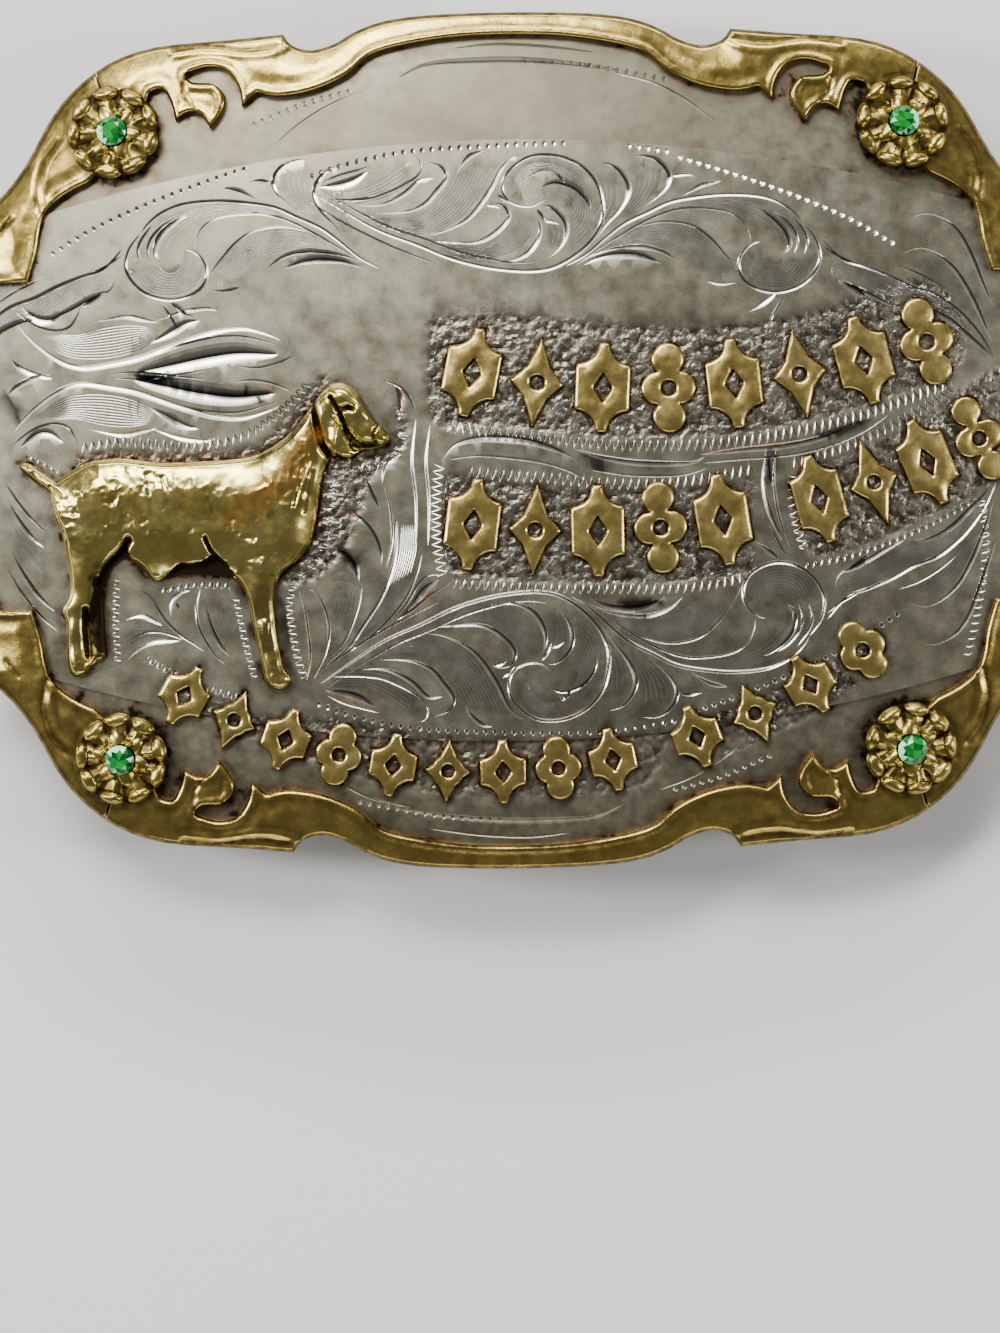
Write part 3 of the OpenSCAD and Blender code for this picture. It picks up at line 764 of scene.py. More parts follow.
secondBundles = [
    (9, [(76.9, 60.6), (77, 59.7), (77.7, 59.2), (78.6, 59.3), (79.1, 60)],
        [(74.8, 60), (75.3, 58), (77.4, 56.8), (80.2, 57.2), (81.8, 59.4)]),
    (10, [(60.6, 60.9), (63.2, 61.8), (65.8, 61.9), (68, 61.2), (70.2, 59.7), (72, 58)],
         [(61.8, 62.3), (64.6, 63.6), (67.6, 63.9), (70.2, 63.1), (72.2, 61.2), (73.6, 58.9)]),
    (5, [(63.6, 65.2), (65.2, 66.6), (66.4, 68.2), (66.9, 70)],
        [(62.9, 65.6), (64, 67.2), (64.6, 68.8), (64.6, 70.6)]),
    (5, [(66.6, 65.4), (70, 66), (73.2, 65.9), (76, 64.9), (78, 63), (78.7, 61.2)],
        [(67.2, 66.1), (70.6, 66.7), (74.2, 66.6), (77.6, 65.6), (80.2, 63.6), (81.4, 61.2)]),
    (4, [(59.6, 62.6), (61.2, 64.8), (62.2, 66.8), (62.2, 69)],
        [(59.9, 64.6), (60.6, 66.2), (60.8, 67.8), (60.4, 69.6)]),
]

# Leaves at the right side
rightLeaves = [
    ("stem", [(82.8, 61.9), (84.7, 59.7), (87, 58.8), (89.3, 57.8), (91.6, 56.5), (93.9, 55.6), (95.5, 54.4),
              (97, 52.9), (98.6, 50.6), (99.8, 48)]),
    ("lobe", [(83.8, 59), (83.6, 58.2), (84.2, 57.2), (85, 57), (86.5, 56.2), (88.5, 55), (90.5, 54)]),
    ("wide", [(91.3, 53.9), (92.5, 54), (94, 53.5), (95.5, 52.5), (97, 51), (98.5, 49.5), (99.5, 48.2)]),
    ("edge", [(82.8, 61.3), (84, 60.3), (86, 59.2)]),
    ("lobe", [(90.7, 60), (91.5, 60.5), (92.5, 60.7), (93.5, 60.4), (94.5, 59.8), (95.2, 59.2), (96.2, 58),
              (97.5, 55.5), (98.5, 53), (99.5, 50)]),
    ("lobe", [(91.7, 64), (92.5, 64.4), (93.5, 64.5), (94.5, 64.1), (95.5, 63.5), (96.2, 62.8), (97, 61.5),
              (98, 59), (99, 56), (99.8, 54)]),
    ("edge", [(90, 58.9), (92, 58.1), (94, 56.9), (95.8, 55.5)]),
    ("lens", [(84.6, 57), (85.8, 56.4), (87, 55.4)]),
]
rightBundles = [
    (9, [(85.2, 57.5), (88, 56.2), (91, 54.7), (94.5, 53.2), (97.4, 50.9)],
        [(84.4, 59.1), (87.2, 58.3), (90.4, 57.1), (93.6, 55.5), (96.2, 53.3)]),
    (4, [(93, 59.4), (95, 58.2), (96.6, 56), (97.8, 53.4)],
        [(91.6, 59.3), (93.6, 58), (95.4, 56.2), (96.6, 54.2)]),
]

# Leaves that rise from the same root beside the figure
rootLeaves = [
    ("edge", [(30.6, 68.2), (31, 65.9), (30.8, 63.1), (30.4, 60.7), (29.9, 59)]),
    ("edge", [(31.3, 68), (32.5, 65.4), (32.9, 63.1), (32.5, 61), (31.6, 59.3), (30.9, 59)]),
    ("edge", [(33, 65.9), (34.6, 63.8), (35.8, 60.7), (36.2, 58.6)]),
    ("stem", [(32.6, 66.6), (34.9, 64.7), (36.3, 62.6), (38, 60), (39.1, 57.4), (39.6, 55), (39.7, 52)]),
    ("edge", [(34.9, 65.3), (37.7, 63.1), (40.3, 60.2), (41.6, 57.6), (42.2, 55.4)]),
    ("lens", [(39.6, 62.2), (41.2, 60.6), (42.4, 58.9), (44, 57.9)]),
    ("edge", [(39.6, 62), (41.2, 61), (43, 59.5), (45.2, 58.2)]),
    ("edge", [(38.9, 62.4), (40.6, 60.4), (41.8, 58.4), (42.9, 57.5), (44.4, 57.5)]),
    ("lobe", [(33.8, 52), (35, 51.2), (36.2, 52), (37.2, 53.2), (38, 55), (38.1, 56.5)]),
    ("lens", [(33, 55.5), (34.2, 55.2), (35.2, 56.2), (35.9, 58.2)]),
    ("lobe", [(36.3, 47), (36.8, 48.5), (37.2, 49.5), (38, 51)]),
    ("lobe", [(38.2, 48.4), (38.4, 47), (39.2, 46), (40.2, 45.4)]),
    ("edge", [(38.6, 56.8), (39.2, 54), (39, 50.8), (38.4, 48.6)]),
    ("edge", [(41.6, 41.8), (41.2, 46), (41.6, 50), (41.6, 54.6)]),
    ("edge", [(43, 42.4), (42.6, 46), (42.9, 50), (42.8, 54.6)]),
    ("flick", [(35.2, 49), (35.8, 50.2), (36.8, 51)]),
    ("lens", [(39.4, 38.2), (40, 40), (39.8, 41.6)]),
    ("edge", [(38.4, 38), (40.4, 39), (41.6, 41)]),
]
rootBundles = [
    (6, [(33.6, 66), (35.8, 63.9), (37.6, 61.4), (39, 58.6)],
        [(34.6, 65.4), (37.3, 63), (39.5, 60.3), (41, 57.4)]),
    (5, [(33, 56.6), (33.8, 58.4), (33.9, 60.4), (33.4, 62)],
        [(35.2, 58.4), (35.6, 59.6), (35.2, 61.2), (34.4, 62.8)]),
    (5, [(33, 57.4), (34.4, 57.2), (35.6, 57.8), (36.4, 58.8)],
        [(33.2, 60.8), (34.2, 60.6), (35.2, 60.8), (35.8, 61.2)]),
]

# Scroll above the figure's back, and the leaves behind its tail
backScroll = [
    ("wide", [(1.2, 43.3), (2.2, 42), (3.6, 40.6), (5.2, 39.4), (6.6, 38.7), (8.4, 38.4), (10.7, 38.7),
              (13.4, 39.2), (16.1, 40.1), (18.8, 41), (21.4, 41.7), (24.1, 41.9), (26.4, 41.3), (28, 40.6)]),
    ("edge", [(1.2, 44.4), (3.2, 42.9), (5.2, 42.3), (6.6, 42.6), (7.3, 43.4), (8, 44.8)]),
    ("lens", [(1.8, 44.9), (3.4, 43.5), (5, 43.4), (6.4, 44.4)]),
    ("lobe", [(8.8, 42.9), (10.6, 43.3), (12.4, 43.5), (14.2, 43.1), (15.8, 42.8)]),
    ("lobe", [(15, 42.8), (16.6, 43.4), (18.4, 43.9), (20.4, 44.1), (21.6, 43.8)]),
    ("lens", [(14.6, 40.6), (16.6, 41.6), (18.4, 42.6), (20, 42.9)]),
    ("edge", [(14.4, 39.4), (17.4, 40.4), (20.6, 41.1), (24, 41.2), (27.6, 40.2)]),
    ("wide", [(0.6, 39.6), (1.6, 38.6), (3, 37.9), (5, 37.4)]),
    ("lobe", [(0.6, 49.6), (1.4, 51.4), (2.8, 53.4), (4.3, 54.8)]),
    ("edge", [(0.4, 48.2), (1.6, 50), (3.2, 52), (4.7, 53.4)]),
    ("lobe", [(0.8, 54.4), (2, 57), (3.6, 59.4), (5.4, 61.2)]),
    ("edge", [(0.6, 56.8), (2.2, 59.4), (4.2, 61.8), (5.8, 63.2)]),
    ("scoop", [(13.2, 37.9), (16.4, 38.5), (20, 39.2), (23.6, 39.6), (27.6, 39.3)]),
    ("edge", [(23.4, 38.2), (25.4, 38), (27.4, 38.4), (29.2, 39.2)]),
    ("edge", [(10.8, 37.4), (13.6, 37.2), (17, 37.5), (20.8, 38)]),
]
backBundles = [
    (4, [(12.8, 39.6), (12.9, 40.8), (13, 42.2)], [(15.6, 40.6), (15.4, 41.4), (15.2, 42.2)]),
    (4, [(1, 50.8), (2.4, 53.2), (4.2, 55.4)], [(0.8, 53.4), (2.2, 56), (4.4, 58.6)]),
]
# Bundles whose lines are cut deeper, and catch more light: in that scroll, and in a leaf from the root
gleamBundles = [
    (11, [(3.2, 42), (6, 39.9), (9.6, 39.4), (13.2, 40), (15.8, 41.4)],
         [(5.4, 41.9), (7.6, 41.8), (10.2, 42.4), (12.8, 42.6), (15, 42.3)]),
    (8, [(39, 58.6), (39.9, 55.6), (40.2, 52.4)], [(41, 57.4), (41.6, 54.6), (41.4, 52.4)]),
]

# Leaves seen between the figure's legs
legLeaves = [
    ("edge", [(14, 59), (15, 59.7), (16, 61.2), (16.7, 62.2), (18, 63.5), (19.5, 64.5), (20.5, 65.2)]),
    ("lobe", [(17, 61.6), (17.1, 60.2), (18, 59.2), (19, 59.1)]),
    ("flick", [(17.4, 60.2), (17.8, 60.8), (17.6, 61.4)]),
    ("lobe", [(20.7, 59.4), (20.7, 61.2), (21.2, 63), (22, 64.5), (23, 65.7)]),
    ("edge", [(20, 58.8), (19.6, 60.8), (20, 63), (21.4, 65.4), (22.4, 66.4)]),
    ("lobe", [(12.5, 62), (14, 61.6), (15, 61.9), (16.2, 62.6)]),
    ("lobe", [(12.7, 66), (14, 64.8), (15.5, 64.2), (18, 64.1)]),
    ("edge", [(12.4, 64.4), (14, 63.4), (16, 63.2), (18.4, 64)]),
]
legBundles = [
    (5, [(13.2, 62.6), (15, 62.4), (17, 63)], [(13, 64.2), (15, 63.7), (17.6, 64)]),
    (4, [(20.9, 60.2), (21.4, 62.4), (22.4, 64.6)], [(22.4, 60.4), (22.6, 62.4), (23.2, 64.2)]),
]

# Ribbons that frame the rows
ribbons = [
    ("lens", [(44, 46.4), (45.4, 44.6), (47.6, 43.9), (50, 43.8), (53, 44.1), (56, 45.1), (57.8, 46.2)]),
    ("edge", [(44.8, 46), (47.4, 45.6), (50.2, 45.7), (54, 46.2), (56.6, 47), (58.6, 48)]),
    ("wide", [(57.4, 44.9), (60, 45.7), (64, 46.3), (69, 46.3), (70.6, 45.6)]),
    ("wide", [(70, 45.5), (74, 45), (79, 44.5), (83, 43.5), (86, 42.1)]),
    ("edge", [(70.2, 46.3), (74.4, 45.9), (79.4, 45.4), (83.4, 44.4), (86.6, 43), (89, 41.4)]),
    ("edge", [(59, 47), (63, 47.5), (68, 47.5), (70.8, 46.8)]),
    ("lobe", [(76.6, 45), (76.3, 48), (76.9, 51), (78.3, 54.2)]),
    ("edge", [(77.6, 45), (77.4, 48), (77.9, 51.4), (79, 54.8)]),
    ("lens", [(77, 45.2), (76.8, 46.8), (77.2, 48.6)]),
    ("edge", [(44.8, 47), (44.5, 51), (44.6, 55), (45, 57)]),
]

# Rows of short cuts side by side, as their length and the line that they stand across: those of the upper
# rows, of the low rows, and of the figure and the right side
rowCombs = [
    (1.1, [(45.5, 58.4), (50, 58.6), (55, 58.8), (60, 58.9), (66, 58.9), (71, 58.5), (74.4, 57.7)]),
    (1.3, [(43.9, 46.6), (43.6, 50), (43.7, 54), (44.2, 57.4)]),
    (1.4, [(47, 47.3), (51, 47.6), (55, 47.8), (60, 48.3), (65, 48.4), (70, 47.9), (75.2, 46.9)]),
    (1.5, [(45, 42.6), (50, 43.3), (56, 44), (62, 44.5), (68, 44.5), (74, 44.1), (79, 43.2), (84, 42.1),
           (88.3, 40.7), (94.7, 38.3)]),
    (1.3, [(79.4, 46.2), (82.4, 45.3), (85.8, 44.1), (89.2, 42.5), (92.4, 40.7), (95.4, 38.7)]),
    (1, [(79.2, 47.6), (79.4, 51.4), (80.4, 54.8)]),
    (0.8, [(80.6, 56.6), (85, 55.6), (91.5, 53.1), (97.6, 49.9)]),
]
lowCombs = [
    (0.72, [(31.9, 70.4), (35.1, 71.5), (41.5, 72.8), (50, 73.2), (57.3, 73.3), (63, 72.9), (67.4, 72.1)]),
    (0.7, [(68.8, 71.4), (74, 69.5), (80, 67), (85.6, 64.2), (89.8, 61.4)]),
]
figureCombs = [
    (1.3, [(8.2, 44.7), (12, 44.1), (15.6, 44.4), (19.1, 44.6), (22.4, 44.1), (25.5, 42.9), (28.7, 40.5),
           (30.6, 38.5)]),
    (0.9, [(29.3, 58.6), (28.9, 60.5), (29.2, 63), (29.7, 65.6), (30.4, 67.6)]),
    (0.75, [(23.6, 60), (24.1, 62.4), (24.7, 65), (25.4, 67.6)]),
    (0.9, [(98.3, 50), (98.7, 54), (98.4, 58), (97.7, 62), (96.9, 65.4)]),
    (0.8, [(14.6, 65.9), (17.4, 67.4), (20.6, 68.8), (24.6, 70)]),
    (0.8, [(11.6, 58), (11.5, 62), (11.7, 66)]),
    (1.1, [(34, 46.6), (33.2, 50), (32.8, 53), (31.9, 55.8), (30.4, 57.6)]),
    (0.9, [(39.8, 40.6), (40.2, 43), (39.8, 45.2), (38, 46.4), (35.8, 46.8)]),
    (0.75, [(16.2, 59), (19.4, 58.5), (22.8, 58.6)]),
    (0.8, [(2.6, 45.6), (4.2, 46.4), (5.6, 47.2)]),
]
# Spacing and slant of short cuts; up to the bead length they stand apart as beads
combStep = {"pitch": 0.40, "slant": 0.34, "beadPitch": 0.94, "beadLength": 0.72}
# Spacing of the points along a stroke and along a line of a bundle, and the fewest on one
cutStep = {"stroke": 0.42, "hatch": 0.62, "least": 5}

# The plate's upper half repeats what is drawn: the buckle's own x and y are scaled and then shifted
upperMoves = {
    "drawn": {"scale": (1, 1), "shift": (0, 0)},
    "mirrored": {"scale": (1, -0.9), "shift": (0, 3.2)},
    "turned": {"scale": (-1, -0.9), "shift": (-7.4, 3.2)},
    "raised": {"scale": (1, -1), "shift": (0.3, 13.9)},
}


# Points of the sheet as one of the moves puts them on the buckle: times its scale, plus its shift
def moved(points, move):
    return onBuckle(points) * upperMoves[move]["scale"] + upperMoves[move]["shift"]


# A stroke made smooth, with points at even steps
def strokeLine(points):
    return evenly(smoothRun(points, 6), cutStep["stroke"], cutStep["least"])


# Short straight cuts across a line: long ones slant to one side and the other in turn, and short ones stand
# apart as wide beads
def combLines(length, line):
    bead = length <= combStep["beadLength"]
    p = evenly(smoothRun(line, 6), combStep["beadPitch" if bead else "pitch"])
    step = np.gradient(p, axis=0)
    step /= np.linalg.norm(step, axis=1)[:, None]
    slant = np.where(np.arange(len(p)) % 2 == 0, 1, -1)[:, None] * (0 if bead else combStep["slant"])
    across = (leftOf(step) + step * slant) * length / 2
    kind = "bead" if bead else "tick"
    return [(kind, np.stack([m - a, m - a / 3, m + a / 3, m + a])) for m, a in zip(p, across)]


# Lines of a bundle lie evenly between its two guides
def bundleLines(count, first, last):
    a, b = smoothRun(first, 5), smoothRun(last, 5)
    return [evenly(a + (b - a) * share, cutStep["hatch"], cutStep["least"])
            for share in np.linspace(0, 1, count)]


# Longest stretch of a line that lies inside the loops
def clipped(line, loops):
    kept = inside(line, loops)
    ends = np.flatnonzero(np.diff(np.concatenate([[0], kept.astype(int), [0]])))
    if len(ends) == 0:
        return line[:0]
    longest = np.argmax(ends[1::2] - ends[::2])
    return line[ends[2 * longest]:ends[2 * longest + 1]]


# A cut as arrays: its middle line, half its width and its depth at each point of it. Both follow a sine along
# it, whose top is moved to where the kind is widest, raised to the power "full"
def cutShape(kind, line):
    k = cutKinds[kind]
    t = np.linspace(0, 1, len(line)) ** (math.log(0.5) / math.log(k["swell"]))
    swell = np.maximum(np.sin(math.pi * t), 0) ** k["full"]
    most = cutTone["fine"] if kind == "hatch" else 1.0
    return {"line": line, "half": k["width"] / 2 * swell, "depth": k["depth"] * swell, "lean": k["lean"],
            "fine": kind == "hatch", "most": most, "tone": most / min(cutTone["depth"], k["depth"])}


# The same cuts with wider edges
def widened(cuts, more):
    return [dict(cut, half=cut["half"] + more) for cut in cuts]


# Depth below the surface at each point: over each cut it falls straight from both edges to the deepest line.
# The second answer is each point's tone: how far down its own cut it lies
def cutDepth(points, cuts):
    deepest, tone = np.zeros(len(points)), np.zeros(len(points))
    for cut in cuts:
        line, reach = cut["line"], cut["half"].max() + 0.02
        near = np.flatnonzero(((points > line.min(0) - reach) & (points < line.max(0) + reach)).all(1))
        if len(near) == 0:
            continue
        a, along = line[:-1], np.diff(line, axis=0)
        length = np.maximum(np.linalg.norm(along, axis=1), 1e-9)
        rel = points[near, None] - a
        t = np.clip((rel * along).sum(2) / length ** 2, 0, 1)
        off = np.linalg.norm(rel - t[..., None] * along, axis=2)
        best = off.argmin(1)
        row = np.arange(len(near))
        t, off = t[row, best], off[row, best]
        side = np.sign(along[best, 0] * rel[row, best, 1] - along[best, 1] * rel[row, best, 0]) * off
        half = np.maximum(cut["half"][best] * (1 - t) + cut["half"][best + 1] * t, 1e-9)
        depth = cut["depth"][best] * (1 - t) + cut["depth"][best + 1] * t
        middle = cut["lean"] * half
        slope = np.where(side > middle, (half - side) / (half - middle), (side + half) / (middle + half))
        slope = np.clip(slope, 0, 1)
        tone[near] = np.maximum(tone[near], slope * np.minimum(depth * cut["tone"], cut["most"]))
        deepest[near] = np.maximum(deepest[near], depth * slope)
    return deepest, tone


# Remembers what it found for the points that it was last asked about
def remembered(work):
    last = {}

    def answer(points):
        if last.get("points") is not points:
            last.update(points=points, found=work(points))
        return last["found"]
    return answer


# Points and edges that the net of triangles needs for a cut: both edges and the deepest line
def cutNet(cuts):
    points, edges, count = [], [], 0
    for cut in cuts:
        normal = leftOf(np.gradient(cut["line"], axis=0))
        for share in (-1, cut["lean"], 1):
            points.append(cut["line"] + normal * (cut["half"] * share)[:, None])
            row = np.arange(len(cut["line"]) - 1) + count
            edges.append(np.stack([row, row + 1], 1))
            count += len(cut["line"])
    return np.concatenate(points), np.concatenate(edges)


# Every cut of the engraved plate: strokes, then the lines of bundles, then combs, each with its repeats
def engravedCuts(loops):
    drawn = mainScroll + secondScroll + rightLeaves
    drawnBundles = mainBundles + secondBundles + rightBundles
    lines = []
    for move, part in (("drawn", drawn + rootLeaves + backScroll + legLeaves + ribbons), ("mirrored", drawn),
                       ("turned", secondScroll + rightLeaves), ("raised", backScroll)):
        lines += [(kind, strokeLine(moved(points, move))) for kind, points in part]
    for kind, move, part in (("hatch", "drawn", drawnBundles + rootBundles + backBundles + legBundles),
                             ("gleam", "drawn", gleamBundles), ("hatch", "mirrored", drawnBundles),
                             ("hatch", "turned", secondBundles + rightBundles),
                             ("hatch", "raised", backBundles), ("gleam", "raised", gleamBundles[:1])):
        for count, first, last in part:
            lines += [(kind, line) for line in bundleLines(count, moved(first, move), moved(last, move))]
    for move, part in (("drawn", rowCombs + lowCombs + figureCombs), ("mirrored", lowCombs),
                       ("turned", lowCombs[1:])):
        for length, line in part:
            lines += combLines(length, moved(line, move))
    kept = [(kind, clipped(line, loops)) for kind, line in lines]
    return [cutShape(kind, line) for kind, line in kept if len(line) > 3]


# Plates

outlineSpacing = {"plate": 0.8, "trim": 0.22, "ornament": 0.2, "figure": 0.16}
engravedLoops = nodeOutline("engraved_plate", outlineSpacing["plate"])
raisedNodes = [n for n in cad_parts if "ornament" in n]
trimNodes = ["trim_bottom", "trim_top", "trim_left", "trim_right"]
outlines = {n: nodeOutline(n, outlineSpacing["ornament"]) for n in raisedNodes}
outlines.update({n: nodeOutline(n, outlineSpacing["trim"]) for n in trimNodes})

# Outline of the figure, clockwise from its poll; points are millimetres on the sheet
figureOutline = [
    (31.6, 39.9), (32.2, 39.2), (32.8, 38.6), (33.6, 38.3), (34.5, 38.4), (35.3, 38.8), (35.9, 39.3),
    (36.4, 40.1), (37, 41.1), (37.6, 42), (38.2, 42.6), (38.7, 43.2), (39, 43.7), (38.9, 44.2), (38.4, 44.6),
    (37.6, 44.85), (36.9, 44.9), (36.2, 45), (35.6, 45.4), (35.1, 45.75), (34.4, 45.75), (33.7, 45.5),
    (33, 45.9), (32.6, 46.6), (32.2, 48), (31.9, 50), (31.65, 52), (31.2, 54), (30.5, 55.3), (29.5, 56.3),
    (28.5, 57), (27.9, 57.8), (27.5, 59), (27.4, 60.4), (27.55, 62), (27.8, 64), (28.1, 65.6), (28.4, 66.8),
    (29, 67.5), (29.15, 68.2), (28.6, 68.8), (27.8, 69), (27, 68.7), (26.5, 68.2), (26.3, 67.3), (26, 66),
    (25.7, 64.5), (25.35, 63), (25.05, 61.5), (24.75, 60), (24.25, 58.9), (23.6, 58.1), (22.8, 57.7),
    (20.4, 57.5), (18, 57.5), (16.6, 57.8), (15.9, 58.1), (15.3, 58.05), (14.8, 57.6), (14.2, 56.9),
    (13.4, 56.3), (12.5, 55.9), (11.8, 56.1), (11, 57), (10.6, 58.4), (10.4, 60.4), (10.45, 62.4),
    (10.65, 64.3), (10.6, 65.5), (10.1, 66.2), (9.4, 66.4), (9.05, 66.8), (8.7, 67.3), (8.1, 67.7),
    (7.4, 67.7), (6.9, 67.3), (6.65, 66.4), (6.55, 65.2), (6.55, 63.8), (6.5, 62.2), (6.15, 61.3),
    (6.3, 60.7), (6.75, 60), (6.95, 59), (6.85, 57.5), (6.6, 56), (6.3, 54.5), (5.95, 53), (5.55, 52),
    (5.25, 51), (5.05, 50), (4.95, 49.25), (4.3, 48.8), (3.5, 48.3), (2.7, 47.6), (2, 47), (1.75, 46.4),
    (2.5, 46.15), (3.2, 46.5), (4, 47.1), (4.8, 47.7), (5.4, 48.1), (6, 47.7), (7, 47.1), (8, 46.5),
    (9, 46.1), (10, 45.9), (12, 45.8), (14, 46), (16, 46.2), (18, 46.2), (20, 46.1), (22, 46), (24, 45.8),
    (25.5, 45.5), (26.8, 44.9), (28, 44.1), (29.2, 43.1), (30.2, 41.9), (31, 40.8),
]
figureLoop = smoothLoop(onBuckle(figureOutline)[::-1], outlineSpacing["figure"])

# Spacing of a plate's plain net and of its grounds, how far both keep from its border, the least share of
# ground that counts, how far the net keeps from a cut, and how far the shade of hatch reaches past its lines
plateNetShape = {"plain": 1.5, "plainClear": 0.5, "ground": 0.27, "groundClear": 0.3, "leastGround": 0.05,
                 "cutClear": 0.07, "shade": 0.05}
noEdges = np.zeros((0, 2), int)

# Punched grounds round the rows and the figure: their outlines on the sheet
grounds = [
    [(43, 31.6), (52, 31.4), (60, 32.2), (68, 32.6), (76, 32), (83, 30.6), (89, 28.2), (93.6, 28), (96.4, 32),
     (95.6, 37), (88.2, 40), (84, 41.4), (79, 42.5), (74, 43.4), (68, 43.8), (62, 43.8), (56, 43.3),
     (50, 42.6), (43.2, 42)],
    [(44.6, 47.2), (51, 48.2), (55, 48.4), (60, 49), (65, 49), (70, 48.6), (75.4, 47.8), (75.2, 51),
     (75.4, 54.4), (75.6, 57), (71, 57.9), (66, 58.3), (60, 58.3), (55, 58.2), (50, 58), (45.2, 57.8),
     (44.3, 54), (44.2, 50)],
    [(79.8, 46.8), (84, 45.6), (88, 43.9), (92, 41.8), (96, 39), (100.5, 36.6), (103.4, 40), (101.2, 46.2),
     (97.4, 49.4), (94, 51.3), (90, 53.2), (86, 54.7), (82, 55.9), (80.6, 54.6), (79.9, 51)],
    [(17.4, 67), (19, 68.4), (22, 69.9), (27, 71.6), (33, 71.6), (38, 72.6), (43, 73.4), (48, 73.7),
     (53, 73.9), (58, 73.8), (63, 73.4), (66.6, 72.8), (64.6, 78.4), (55, 79.6), (46, 79.7), (38, 78.3),
     (30, 75.8), (23, 72.8), (18.8, 70.4), (17.2, 68.6)],
    [(68.6, 72.2), (74, 70.2), (80, 67.7), (85, 65.2), (87.8, 63.4), (88.6, 65.6), (86, 68.4), (80.6, 72),
     (74, 75), (69.4, 76.2)],
    [(30.6, 39), (28.4, 42), (26, 44.2), (22, 45.1), (9, 45.2), (7.6, 46.4), (10, 48), (28, 48), (33, 43),
     (33, 39), (32.6, 37.2)],
    [(32, 45.6), (36, 45), (39.4, 44.6), (39.6, 40), (40.8, 42.4), (40.2, 45.6), (37.8, 47), (36.6, 49.4),
     (35.8, 52.4), (34.4, 55), (31.6, 58), (28.4, 58.4), (28, 56), (31, 52)],
]
groundLoops = [evenly(smoothRun(onBuckle(outline + outline[:1]), 4), 0.8)[:-1] for outline in grounds]


# Share of punched ground at each point: 1 inside the outlines, falling to 0 over a short way past them
def groundShare(points):
    found = np.zeros(len(points))
    for loop in groundLoops:
        found = np.maximum(found, eased(depthInside(points, loop, 3.0) / groundShape["edge"] + 0.5))
    return found


# Punched grain: two sizes of random heights that go down from the surface
def groundDepth(points):
    grain = waves(points, groundShape["size"], 41) + 0.7 * waves(points, 0.55 * groundShape["size"], 42)
    return groundShare(points) * groundShape["grain"] * (0.5 + 0.5 * np.clip(grain, -1, 1))


# Grid points of the grounds that no raised work covers
def groundPoints(loops):
    grid = gridInside(loops, plateNetShape["ground"], plateNetShape["groundClear"])
    grid = grid[groundShare(grid) > plateNetShape["leastGround"]]
    for name in raisedNodes:
        low, high = outlines[name][0].min(0), outlines[name][0].max(0)
        near = np.flatnonzero(((grid > low) & (grid < high)).all(1))
        grid = np.delete(grid, near[inside(grid[near], outlines[name])], 0) if len(near) else grid
    return grid[~inside(grid, [figureLoop])]


# How near an outline is: 1 on it, falling straight to 0 over the width
def nearness(points, loops, width):
    return 1 - nearDistance(points, segmentsOf(loops), width) / width


# How near any of the named pieces is
def beside(points, names, width):
    return np.max([nearness(points, outlines[name], width) for name in names], axis=0)


# Painted shadow and brown grime round the flowers: full under their edge and gone a little way past it
def besideFlower(points, width=1.3):
    away = np.hypot(*(np.abs(points) - buckle["flowerPlace"]).T) - buckle["flowerRadius"]
    return np.clip(1 - away / width, 0, 1)


# Spots on the plate: middle, half sizes, turn in degrees, and how strong. The near-black ones are painted
# shadow beside the figure's front leg, chest and jaw, and cuts painted darker; the copper ones are tarnish
plateShadeAndStains = {
    "shadeAndStain": [
        ((19.6, 38.7), (4.9, 0.42), -12, 1), ((24.2, 39.4), (2, 0.5), -2, 1),
        ((1.2, 40.9), (0.35, 1.3), 25, 0.9), ((84.2, 42.9), (2.2, 0.35), 18, 0.9),
        ((64, 60.3), (1.9, 0.3), 2, 0.9), ((59.2, 46.2), (1.3, 0.5), -25, 0.8),
        ((77, 46.6), (0.5, 1.5), -8, 0.6), ((34.8, 55.7), (1.1, 0.4), -50, 0.85),
        ((25, 62.6), (0.28, 4), 12, 1), ((28.25, 62.4), (0.38, 3.9), 8, 0.75), ((32, 51.6), (0.2, 4), 6, 0.8),
        ((35.6, 45.8), (1.9, 0.22), 8, 0.8),
    ],
    "copper": [
        ((61, 60), (1.8, 0.35), 2, 0.9), ((42, 60.4), (2.6, 0.55), 38, 0.9),
        ((34.9, 70), (2.6, 0.35), -10, 0.9), ((34.8, 51.5), (1, 0.5), 0, 0.8),
        ((74.6, 44.7), (3.4, 0.4), 4, 0.8), ((27.2, 39.4), (2.2, 1.1), 8, 0.7),
        ((39.9, 39.6), (0.5, 1.9), 5, 0.7), ((16, 45.6), (9.5, 0.5), -1, 0.75),
        ((71.6, 58.6), (2, 0.35), 8, 0.7), ((57.4, 70.2), (2.2, 0.35), 20, 0.6),
        ((23.6, 65.4), (0.5, 1.2), 28, 0.7),
    ],
}


# An oval spot for each row, ragged and soft at its edge: full inside, gone at one and a half times its size
def spots(points, rows, soft=0.6):
    found = np.zeros(len(points))
    edge = 0.25 * waves(points, 0.6, 11)
    for middle, size, turn, strength in rows:
        c, s = math.cos(math.radians(turn)), math.sin(math.radians(turn))
        p = points - onBuckle([middle])[0]
        u = (p[:, 0] * c + p[:, 1] * s) / size[0]
        v = (p[:, 1] * c - p[:, 0] * s) / size[1]
        found = np.maximum(found, strength * eased((1.5 - np.hypot(u, v) + edge) / soft))
    return found


